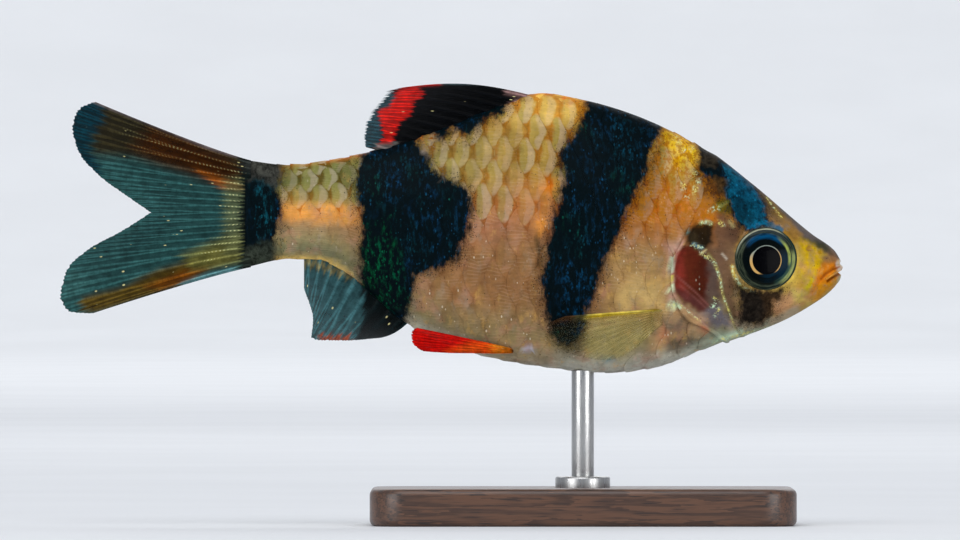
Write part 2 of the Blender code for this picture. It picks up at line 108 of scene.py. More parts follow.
def times(tree, product, *values):
    """Several values multiplied, one after the other."""
    for value in values:
        product = maths(tree, "MULTIPLY", product, value)
    return product


def remap(tree, value, low, high, new_low=0.0, new_high=1.0):
    """Maps a value from one span to another, clamped, with soft ends."""
    span = {"Value": value, "From Min": low, "From Max": high, "To Min": new_low, "To Max": new_high}
    return node(tree, "MapRange", span, interpolation_type="SMOOTHSTEP").outputs[0]


def mix(tree, share, first, second, blend="MIX"):
    """Mixes two colours, given as sockets or as three numbers."""
    made = node(tree, "Mix", {0: share}, data_type="RGBA", blend_type=blend)
    for number, colour in ((6, first), (7, second)):
        if isinstance(colour, bpy.types.NodeSocket):
            tree.links.new(colour, made.inputs[number])
        else:
            made.inputs[number].default_value = (*colour[:3], 1.0)
    return made.outputs[2]


def shaded(tree, colour, by):
    """A colour multiplied by another one, or by a grey."""
    return mix(tree, 1.0, colour, by, "MULTIPLY")


def axes(tree, vector):
    """The three numbers that make up a place."""
    return node(tree, "SeparateXYZ", {0: vector}).outputs


def vector_of(tree, *numbers):
    """A place, or a colour, from its three numbers; those left out are nought."""
    return node(tree, "CombineXYZ", dict(enumerate(numbers))).outputs[0]


def channels(tree, colour):
    """The red, green and blue of a colour."""
    return node(tree, "SeparateColor", {"Color": colour}).outputs


def in_millimetres(tree, stretch=(1.0, 1.0, 1.0)):
    """The place on the object, in millimetres, stretched along its axes."""
    place = node(tree, "TexCoord").outputs["Object"]
    scale = [s / MM for s in stretch]
    return node(tree, "VectorMath", {0: place, 1: scale}, operation="MULTIPLY").outputs[0]


def noise(tree, place, scale, detail=3.0, rough=0.5):
    """A cloudy pattern between about 0.2 and 0.8."""
    inputs = {"Vector": place, "Scale": scale, "Detail": detail, "Roughness": rough}
    return node(tree, "TexNoise", inputs).outputs["Fac"]


def clouds(tree, stretch, scale=1.0, detail=3.0, rough=0.5):
    """The cloudy pattern over the object itself, finer along an axis the more it is stretched."""
    return noise(tree, in_millimetres(tree, stretch), scale, detail, rough)


def finish(tree, shader, colour, height=None, strength=0.0, depth=0.0, **settings):
    """Gives a shader its colour, the fine relief of a height, if any, and its plain settings."""
    tree.links.new(colour, shader.inputs["Base Color"])
    if height:
        relief = node(tree, "Bump", {"Strength": strength, "Distance": depth, "Height": height})
        tree.links.new(relief.outputs[0], shader.inputs["Normal"])
    for name, value in settings.items():
        shader.inputs[name.replace("_", " ")].default_value = value


def new_material(name, roughness=0.4):
    """A material with its nodes and its shader."""
    material = bpy.data.materials.new(name)
    material.use_nodes = True
    shader = material.node_tree.nodes["Principled BSDF"]
    shader.inputs["Roughness"].default_value = roughness
    return material, material.node_tree, shader


paper, tree, shader = new_material("pale paper", 0.75)
grain = remap(tree, clouds(tree, (1.0, 1.0, 1.0), 0.02, 4.0), 0.3, 0.7)
tint = mix(tree, grain, [FLOOR_SHADE * c for c in FLOOR_TONE[:3]], FLOOR_TONE)
finish(tree, shader, tint, Specular_IOR_Level=0.15)
floor.data.materials.append(paper)

air = bpy.data.worlds.new("studio air")
air.use_nodes = True
air.node_tree.nodes["Background"].inputs["Color"].default_value = AIR_TONE
air.node_tree.nodes["Background"].inputs["Strength"].default_value = AIR_STRENGTH
bpy.context.scene.world = air
for name, place, size, aim, power in LAMPS:
    bpy.ops.object.light_add(type="AREA", location=place)
    lamp = bpy.context.object
    lamp.name = name
    lamp.data.size, lamp.data.energy = size, power
    lamp.visible_camera = False
    lamp.rotation_euler = (Vector(aim) - lamp.location).to_track_quat("-Z", "Y").to_euler()

# The skin
# One unbroken skin runs over the head, the gill covers, the trunk and the root of the tail.
# It is bare on the head, and lies a scale's depth deeper behind the gill opening.
SNOUT_X, NOSE_X, NOSE_Z = 31.14, 31.2, 20.6
BACK_LINE = (
    (-16.5, 29.3), (-13.0, 28.9), (-10.5, 29.15), (-5.7, 30.15), (-2.5, 31.2), (3.9, 33.7), (7.2, 34.65),
    (10.6, 34.1), (14.4, 33.0), (20.2, 30.2), (24.0, 27.35), (28.8, 23.3), (30.6, 22.0), (31.2, 21.05),
)
BELLY_LINE = (
    (-16.5, 20.5), (-12.9, 21.2), (-10.5, 21.05), (-8.9, 20.35), (-4.1, 16.4), (-0.9, 14.6), (2.3, 13.5),
    (7.2, 12.6), (12.5, 12.1), (16.4, 12.55), (20.2, 14.0), (26.0, 16.1), (28.8, 17.6), (30.6, 19.0),
    (31.2, 20.1),
)
HALF_WIDTH = (
    (-16.5, 0.85), (-12.5, 1.4), (-8.0, 2.1), (-2.0, 3.1), (4.0, 3.9), (12.0, 4.3), (18.0, 4.15),
    (23.0, 3.6), (27.0, 2.7), (29.5, 1.75), (30.7, 1.1), (31.2, 0.45),
)
WIDEST_SHARE = 0.46
BACK_ROUNDNESS, BELLY_ROUNDNESS = 1.16, 0.94
GILL_OPENING = ((0.0, 21.9), (0.1, 20.5), (0.2, 18.5), (0.38, 17.5), (0.6, 18.8), (0.8, 20.3), (1, 20.9))
TAIL_END_X = -16.5
SCALE_DEPTH = 0.1
AROUND, FLANK_CROWDING = 240, 0.3
CAP_ROWS, HEAD_ROWS, TRUNK_ROWS, END_ROWS = 8, 200, 170, 4
SNOUT_CROWDING = 1.25
# The gill cover's rear rim, row by row: how far ahead of the opening, and how far it stands out
GILL_RIM = (
    (0.3, 0.2), (0.06, 0.2), (-0.02, 0.15), (0.03, 0.06), (0.35, -0.08), (0.3, -0.2), (-0.1, -0.14),
    (-0.45, -0.1),
)
EYE_X, EYE_Z, EYE_RADIUS = 25.1, 21.3, 2.46
EYE_SPAN, EYE_FLAT, EYE_FLAT_FADE = 2.2, 3.7, 1.2
EYE_RIM_HEIGHT, EYE_RIM_PLACE, EYE_RIM_SPREAD, EYE_HOLLOW, EYE_HOLLOW_FADE = 0.1, 0.15, 0.22, 0.9, 0.35
# The gill cover stands out behind and below these lines, which it does over a span of its own
GILL_COVER_RISE, GILL_COVER_FRONT, GILL_COVER_TOP, GILL_COVER_FADE = 0.2, 21.2, 25.2, 1.5
PREOPERCLE = (
    (19.9, 23.2), (20.5, 21.7), (20.95, 21.1), (21.25, 20.4), (21.5, 19.6), (21.6, 18.8), (21.8, 18.0),
    (22.2, 17.0), (22.6, 15.9), (23.0, 15.2),
)
CHEEK_STEP_PLACE, CHEEK_STEP_HEIGHT, CHEEK_STEP_SPREAD = 0.35, 0.07, 0.22
MOUTH = ((31.6, 20.45), (31.14, 20.18), (30.05, 19.5))
MOUTH_DEPTH, MOUTH_SPREAD = 0.42, 0.09
LIP_HEIGHT, LIP_PLACE, LIP_SPREAD = 0.1, 0.36, 0.2
UPPER_JAW = ((31.25, 20.95), (30.5, 20.5), (29.9, 20.1), (29.5, 19.7), (29.15, 18.95))
NOSTRILS = ((28.6, 22.1, 0.2), (29.5, 21.85, 0.16))
NOSTRIL_DEPTH, NOSTRIL_RIM_HEIGHT, NOSTRIL_RIM_SPREAD = 0.26, 0.07, 0.1
# Fine furrows of the head's bones: a line, how deep, how wide
FURROWS = (
    (PREOPERCLE, 0.1, 0.12),
    (UPPER_JAW, 0.14, 0.13),
    (((17.9, 18.3), (19.0, 17.1), (19.85, 16.45), (20.5, 15.8), (21.2, 15.3)), 0.07, 0.1),
    (((18.4, 19.7), (19.5, 18.6), (20.5, 17.6)), 0.03, 0.07),
    (((29.3, 18.9), (28.3, 18.3), (27.2, 17.5), (25.6, 16.7)), 0.05, 0.12),
    (((28.1, 22.9), (28.3, 21.6), (28.1, 20.3), (27.3, 19.2), (26.2, 18.45), (24.8, 18.2), (23.4, 18.7)),
     0.04, 0.16),
)


def smooth_curve(points):
    """A function through the points that has no bumps between them (a monotone cubic)."""
    x, y = np.array(points, float).T
    step, slope = np.diff(x), np.diff(y) / np.diff(x)
    before, after = slope[:-1], slope[1:]
    same_way = before * after > 0
    total = np.where(same_way, before + after, 1.0)
    inner = np.where(same_way, 2 * before * after / total, 0.0)
    tangent = np.concatenate([slope[:1], inner, slope[-1:]])

    def value(at):
        i = np.clip(np.searchsorted(x, at) - 1, 0, len(x) - 2)
        t = np.clip((at - x[i]) / step[i], 0.0, 1.0)
        return (
            y[i] * (1 + 2 * t) * (1 - t) ** 2
            + tangent[i] * step[i] * t * (1 - t) ** 2
            + y[i + 1] * t * t * (3 - 2 * t)
            + tangent[i + 1] * step[i] * t * t * (t - 1)
        )

    return value


back, belly, half_width = (smooth_curve(line) for line in (BACK_LINE, BELLY_LINE, HALF_WIDTH))
gill_opening = smooth_curve(GILL_OPENING)


def smooth_step(t):
    """Rises from 0 to 1 as t does, with soft ends."""
    t = np.clip(t, 0.0, 1.0)
    return t * t * (3 - 2 * t)


def bump(distance, spread):
    """One where the distance is nought, fading out over the spread."""
    return np.exp(-((distance / spread) ** 2))


def to_line(x, z, line):
    """How far places are from a chain of points, seen from the side."""
    nearest = np.full(np.shape(x), np.inf)
    for (x0, z0), (x1, z1) in zip(line, line[1:]):
        dx, dz = x1 - x0, z1 - z0
        t = np.clip(((x - x0) * dx + (z - z0) * dz) / (dx * dx + dz * dz), 0.0, 1.0)
        nearest = np.minimum(nearest, np.hypot(x - x0 - t * dx, z - z0 - t * dz))
    return nearest


def height_share(angle):
    """Where an angle of the section stands between the belly, 0, and the back, 1."""
    up = np.sin(angle)
    return WIDEST_SHARE + np.where(up > 0, 1 - WIDEST_SHARE, WIDEST_SHARE) * up


def body_point(x, angle, size=1.0):
    """A point on the body: angle runs round the section, from -90 degrees at the belly."""
    low, high, wide = belly(x), back(x), half_width(x)
    middle = low + WIDEST_SHARE * (high - low)
    side, up = np.cos(angle), np.sin(angle)
    roundness = np.where(up > 0, BACK_ROUNDNESS, BELLY_ROUNDNESS)
    reach = np.where(up > 0, high - middle, middle - low)
    y = wide * size * np.sign(side) * np.abs(side) ** roundness
    z = middle + reach * size * np.sign(up) * np.abs(up) ** roundness
    return np.stack(np.broadcast_arrays(x, y, z), axis=-1)


def body_normal(x, angle, step=0.02):
    """The direction straight out of the body's surface."""
    across = body_point(x, angle + step) - body_point(x, angle - step)
    along = body_point(x + step, angle) - body_point(x - step, angle)
    out = np.cross(across, along)
    return out / np.maximum(np.linalg.norm(out, axis=-1, keepdims=True), 1e-9)


def flank(x, z):
    """Half the body's width at a place seen from the side."""
    middle = belly(x) + WIDEST_SHARE * (back(x) - belly(x))
    above = z > middle
    reach = np.where(above, back(x) - middle, middle - belly(x))
    roundness = np.where(above, BACK_ROUNDNESS, BELLY_ROUNDNESS)
    up = np.clip(np.abs(z - middle) / reach, 0.0, 1.0) ** (1 / roundness)
    return half_width(x) * (1 - up * up) ** (roundness / 2)


def eye_plane(x, z):
    """The flat that the eye sits in: it touches the flank and leans forward with it."""
    lean_x = (flank(EYE_X + EYE_SPAN, EYE_Z) - flank(EYE_X - EYE_SPAN, EYE_Z)) / (2 * EYE_SPAN)
    lean_z = (flank(EYE_X, EYE_Z + EYE_SPAN) - flank(EYE_X, EYE_Z - EYE_SPAN)) / (2 * EYE_SPAN)
    level = (flank(EYE_X, EYE_Z) + flank(EYE_X + EYE_SPAN, EYE_Z) + flank(EYE_X - EYE_SPAN, EYE_Z)) / 3
    return level + lean_x * (x - EYE_X) + lean_z * (z - EYE_Z)


def head_relief(x, z):
    """How far the bare skin of the head stands out, along its own normal."""
    from_eye = np.hypot(x - EYE_X, z - EYE_Z) - EYE_RADIUS
    out = EYE_RIM_HEIGHT * bump(from_eye - EYE_RIM_PLACE, EYE_RIM_SPREAD)
    behind, below = (GILL_COVER_FRONT - x) / GILL_COVER_FADE, (GILL_COVER_TOP - z) / GILL_COVER_FADE
    out += GILL_COVER_RISE * smooth_step(behind) * smooth_step(below)
    for line, depth, width in FURROWS:
        out -= depth * bump(to_line(x, z, line), width)
    cheek_step = to_line(x, z, [(line_x + CHEEK_STEP_PLACE, line_z) for line_x, line_z in PREOPERCLE])
    out += CHEEK_STEP_HEIGHT * bump(cheek_step, CHEEK_STEP_SPREAD)
    to_mouth = to_line(x, z, MOUTH)
    from_corner = x - MOUTH[-1][0]
    out += LIP_HEIGHT * bump(to_mouth - LIP_PLACE, LIP_SPREAD) * smooth_step((from_corner + 0.6) / 0.6)
    out -= MOUTH_DEPTH * bump(to_mouth, MOUTH_SPREAD) * smooth_step((from_corner + 0.15) / 0.3)
    for nostril_x, nostril_z, size in NOSTRILS:
        away = np.hypot(x - nostril_x, (z - nostril_z) * 1.2)
        out += NOSTRIL_RIM_HEIGHT * bump(away - size * 1.7, NOSTRIL_RIM_SPREAD)
        out -= NOSTRIL_DEPTH * bump(away, size)
    return out


def newest(name):
    """Names the shape that was added last."""
    made = bpy.context.object
    made.name = made.data.name = name
    return made


def read_points(made):
    """A mesh's points as they are."""
    points = np.empty(len(made.data.vertices) * 3)
    made.data.vertices.foreach_get("co", points)
    return points.reshape(-1, 3)


def place_points(made, points):
    """Moves a shape's points to places in millimetres."""
    made.data.vertices.foreach_set("co", (points * MM).ravel())
    made.data.update()


rows = []
around = np.linspace(0.0, 2 * math.pi, AROUND, endpoint=False) - math.pi / 2
around = around - FLANK_CROWDING * np.sin(2 * around) / 2
level = height_share(around)
opening = gill_opening(level)
# The gill cover's rim is free up to nearly three quarters of the height, and ends at the throat
rim_fade = smooth_step((0.72 - level) / 0.14) * smooth_step((level + 0.04) / 0.08)
for k in range(CAP_ROWS):
    size = k / CAP_ROWS
    rows.append((np.full(AROUND, SNOUT_X + (NOSE_X - SNOUT_X) * math.sqrt(1 - size * size)), size, 0.0))
for k in range(HEAD_ROWS):
    share = (k / HEAD_ROWS) ** SNOUT_CROWDING
    rows.append((SNOUT_X + (opening + GILL_RIM[0][0] - SNOUT_X) * share, 1.0, 0.0))
first_ahead, last_ahead = GILL_RIM[0][0], GILL_RIM[-1][0]
for k, (ahead, out) in enumerate(GILL_RIM):
    plain = first_ahead + (last_ahead - first_ahead) * k / (len(GILL_RIM) - 1)
    plain_out = -SCALE_DEPTH * k / (len(GILL_RIM) - 1)
    ahead, out = plain + (ahead - plain) * rim_fade, plain_out + (out - plain_out) * rim_fade
    rows.append((opening + ahead, 1.0, out))
for k in range(1, TRUNK_ROWS + 1):
    start = opening + last_ahead
    rows.append((start + (TAIL_END_X - start) * k / TRUNK_ROWS, 1.0, -SCALE_DEPTH))
for k in range(1, END_ROWS + 1):
    rows.append((np.full(AROUND, TAIL_END_X), 1 - (k / END_ROWS) ** 2, -SCALE_DEPTH * (1 - k / END_ROWS)))

grid = []
for x, size, out in rows:
    placed = body_point(x, around, size)
    if size == 1.0:
        normal = body_normal(x, around)
    else:
        normal = np.tile((1.0 if x[0] > 0 else -1.0, 0.0, 0.0), (AROUND, 1))
    ahead_of_rim = x > opening + GILL_RIM[0][0] - 0.001
    relief = head_relief(placed[:, 0], placed[:, 2]) * ahead_of_rim
    from_eye = EYE_RADIUS - np.hypot(placed[:, 0] - EYE_X, placed[:, 2] - EYE_Z)
    to_plane = eye_plane(placed[:, 0], placed[:, 2]) - flank(placed[:, 0], placed[:, 2])
    flat = to_plane * smooth_step((from_eye - EYE_RADIUS + EYE_FLAT) / EYE_FLAT_FADE)
    hollow = EYE_HOLLOW * smooth_step(from_eye / EYE_HOLLOW_FADE)
    beside = np.sign(placed[:, 1]) * smooth_step(np.abs(placed[:, 1]) / 1.0)
    placed = placed + normal * (relief + out)[:, None]
    placed[:, 1] += beside * (flat - hollow) * ahead_of_rim
    grid.append(placed)
grid = np.array(grid)
ROWS = len(grid) - 1
TAIL_POLE = grid[-1].mean(axis=0)
NOSE_POLE = np.array([NOSE_X, 0.0, NOSE_Z])

bpy.ops.object.select_all(action="DESELECT")
bpy.ops.mesh.primitive_uv_sphere_add(segments=AROUND, ring_count=ROWS, radius=1.0)
skin = newest("fish_skin")
start = read_points(skin)
ring = np.rint(np.arccos(np.clip(start[:, 2], -1, 1)) / math.pi * ROWS).astype(int)
turn = np.rint(np.arctan2(start[:, 1], start[:, 0]) / (2 * math.pi) * AROUND).astype(int) % AROUND
skin_points = grid[ring, turn]
skin_points[ring == 0] = NOSE_POLE
skin_points[ring == ROWS] = TAIL_POLE
place_points(skin, skin_points)
skin.data.shade_smooth()


def unwrap(made, across, along, seam=1.0):
    """Makes the OFBake map from a place for each vertex; faces over the seam run on past it."""
    for old in list(made.data.uv_layers):
        made.data.uv_layers.remove(old)
    layer = made.data.uv_layers.new(name="OFBake")
    corner = np.empty(len(made.data.loops), int)
    made.data.loops.foreach_get("vertex_index", corner)
    sizes = np.empty(len(made.data.polygons), int)
    made.data.polygons.foreach_get("loop_total", sizes)
    face = np.repeat(np.arange(len(sizes)), sizes)
    u = across[corner].copy()
    widest = np.full(len(sizes), -1.0)
    np.maximum.at(widest, face, u)
    u[widest[face] - u > seam / 2] += seam
    layer.data.foreach_set("uv", np.stack([u, along[corner]], axis=1).ravel())


unwrap(skin, turn / AROUND, 1 - ring / ROWS)


# The markings
# A light ground that changes with height and along the body, five dark bars with blue and green
# flecks, a red patch and a dark spot on the gill cover, and bright lines, some of them painted glints, and
# painted sparkles.


def tone(red, green, blue):
    """The light that a colour reflects, from the values that a screen shows it with."""
    shown = np.array((red, green, blue)) / 255
    return np.where(shown <= 0.04045, shown / 12.92, ((shown + 0.055) / 1.055) ** 2.4)


def inside(x, z, outline):
    """How deep places lie within an outline seen from the side; outside it, below zero."""
    within = np.zeros(np.shape(x), bool)
    for (x0, z0), (x1, z1) in zip(outline, outline[1:] + outline[:1]):
        if z0 != z1:
            crossing = x0 + (z - z0) * (x1 - x0) / (z1 - z0)
            within ^= ((z0 > z) != (z1 > z)) & (x < crossing)
    away = to_line(x, z, outline + outline[:1])
    return np.where(within, away, -away)


# The tones of the light ground
LEMON, OLIVE, GREY_OLIVE = (196, 168, 98), (96, 102, 56), (138, 126, 88)
SAGE = (112, 112, 82)
PINK_TAN, ROSE, FLESH = (162, 122, 82), (162, 110, 84), (142, 100, 62)
ORANGE, GOLD, RUST = (206, 142, 66), (168, 122, 40), (174, 100, 22)
BELLY_GREY, THROAT, MAUVE = (214, 216, 204), (146, 156, 138), (104, 78, 58)
FACE_TAN, SNOUT_ORANGE, BROW_GREY = (220, 194, 86), (182, 118, 12), (86, 78, 74)
CREAM, BACK_ORANGE, YELLOW = (148, 128, 68), (206, 130, 62), (228, 180, 16)
# How they follow one another from the belly, 0, to the back, 1, at stations along the body
GROUND_STATIONS = (
    (-15.0, ((0.0, LEMON), (0.04, SAGE), (0.14, SAGE), (0.24, GREY_OLIVE), (0.45, PINK_TAN), (0.55, ORANGE),
     (0.68, CREAM), (0.8, OLIVE), (1.0, CREAM))),
    (-9.5, ((0.0, LEMON), (0.04, SAGE), (0.12, SAGE), (0.22, GREY_OLIVE), (0.4, PINK_TAN), (0.52, ORANGE),
     (0.62, CREAM), (0.8, OLIVE), (0.95, OLIVE), (1.0, BACK_ORANGE))),
    (0.0, ((0.0, BELLY_GREY), (0.08, GREY_OLIVE), (0.24, FLESH), (0.42, FLESH), (0.53, ROSE),
     (0.63, PINK_TAN), (0.74, CREAM), (0.88, CREAM), (0.96, GOLD), (1.0, BACK_ORANGE))),
    (10.0, ((0.0, BELLY_GREY), (0.08, GREY_OLIVE), (0.24, FLESH), (0.45, FLESH), (0.6, RUST), (0.72, GOLD),
     (0.95, GOLD), (1.0, BACK_ORANGE))),
    (17.5, ((0.0, BELLY_GREY), (0.1, GREY_OLIVE), (0.3, PINK_TAN), (0.5, FLESH), (0.62, RUST), (0.78, GOLD),
     (0.93, YELLOW), (1.0, FLESH))),
    (21.5, ((0.0, THROAT), (0.12, GREY_OLIVE), (0.3, MAUVE), (0.5, MAUVE), (0.66, RUST), (0.85, FLESH),
     (1.0, BROW_GREY))),
    (26.5, ((0.0, CREAM), (0.12, PINK_TAN), (0.4, FACE_TAN), (0.62, FACE_TAN), (0.8, GOLD),
     (0.92, BROW_GREY), (1.0, BROW_GREY))),
    (29.4, ((0.0, CREAM), (0.2, SNOUT_ORANGE), (0.5, SNOUT_ORANGE), (0.72, BROW_GREY), (1.0, BROW_GREY))),
    (30.5, ((0.0, CREAM), (0.2, SNOUT_ORANGE), (0.5, SNOUT_ORANGE), (0.75, FLESH), (1.0, BROW_GREY))),
)
BAR_ON_EYE = [
    (19.4, 31.8), (19.82, 30.3), (19.82, 28.7), (19.9, 28.1), (20.65, 27.8), (21.1, 27.3), (21.2, 26.5),
    (22.0, 26.1), (22.1, 25.6), (22.4, 24.6), (22.9, 24.0), (23.6, 23.3), (25.2, 24.0), (25.3, 24.5),
    (25.0, 25.6), (24.5, 26.7), (23.7, 27.6), (22.8, 29.0), (22.8, 31.0),
]
BAR_UNDER_EYE = [
    (22.7, 19.2), (23.6, 18.9), (24.7, 18.8), (26.5, 18.8), (26.1, 18.1), (25.7, 17.85), (25.8, 17.1),
    (25.3, 16.5), (24.3, 16.0), (23.1, 16.05), (22.9, 16.55), (23.1, 17.2), (23.0, 18.05),
]
BAR_ON_SHOULDER = [
    (10.8, 36.0), (10.8, 33.4), (10.1, 31.6), (8.5, 29.6), (9.1, 27.6), (8.3, 25.3), (7.9, 23.7),
    (7.55, 21.4), (7.15, 19.6), (7.55, 16.7), (8.1, 15.2), (8.7, 14.5), (9.4, 14.2), (10.1, 14.7),
    (10.6, 15.6), (10.85, 17.3), (11.7, 19.3), (12.3, 21.3), (13.15, 23.0), (13.7, 24.2), (14.5, 26.3),
    (15.55, 28.2), (16.2, 30.3), (16.85, 31.8), (16.85, 36.0),
]
BAR_UNDER_DORSAL = [
    (-7.3, 29.4), (-5.9, 30.6), (-4.0, 31.4), (-3.0, 31.2), (-2.66, 30.6), (-1.9, 29.7), (-1.6, 28.6),
    (-1.0, 28.1), (-0.1, 27.65), (0.75, 27.3), (1.3, 26.9), (1.6, 25.9), (1.6, 24.5), (1.3, 23.3),
    (0.75, 22.2), (0.6, 21.1), (-0.4, 20.85), (-1.9, 20.2), (-3.0, 20.0), (-3.1, 18.4), (-3.4, 17.3),
    (-3.7, 16.3), (-4.4, 15.4), (-6.0, 13.5), (-8.4, 13.5), (-7.9, 15.5), (-7.3, 17.3), (-7.5, 18.4),
    (-7.3, 19.5), (-7.3, 21.7), (-7.2, 23.9), (-7.3, 25.5), (-7.8, 26.8), (-7.4, 28.3),
]
BAR_UP_THE_DORSAL = [
    (-3.0, 31.0), (-1.5, 31.4), (-1.06, 30.75), (-0.3, 31.1), (0.2, 31.7), (1.2, 31.1), (1.9, 31.5),
    (2.3, 32.3), (3.7, 32.7), (4.4, 33.1), (4.35, 33.7), (5.5, 34.4), (5.5, 37.0), (-3.0, 37.0),
]
BAR_ON_TAIL_ROOT = [
    (-17.1, 31.0), (-17.0, 25.0), (-17.1, 19.0), (-14.3, 19.0), (-14.25, 20.9), (-14.1, 22.8),
    (-13.65, 24.8), (-13.9, 26.8), (-13.6, 28.8), (-13.6, 31.0),
]
BARS = (BAR_ON_EYE, BAR_UNDER_EYE, BAR_ON_SHOULDER, BAR_UNDER_DORSAL, BAR_UP_THE_DORSAL, BAR_ON_TAIL_ROOT)
BAR_INK = tone(3, 13, 17)
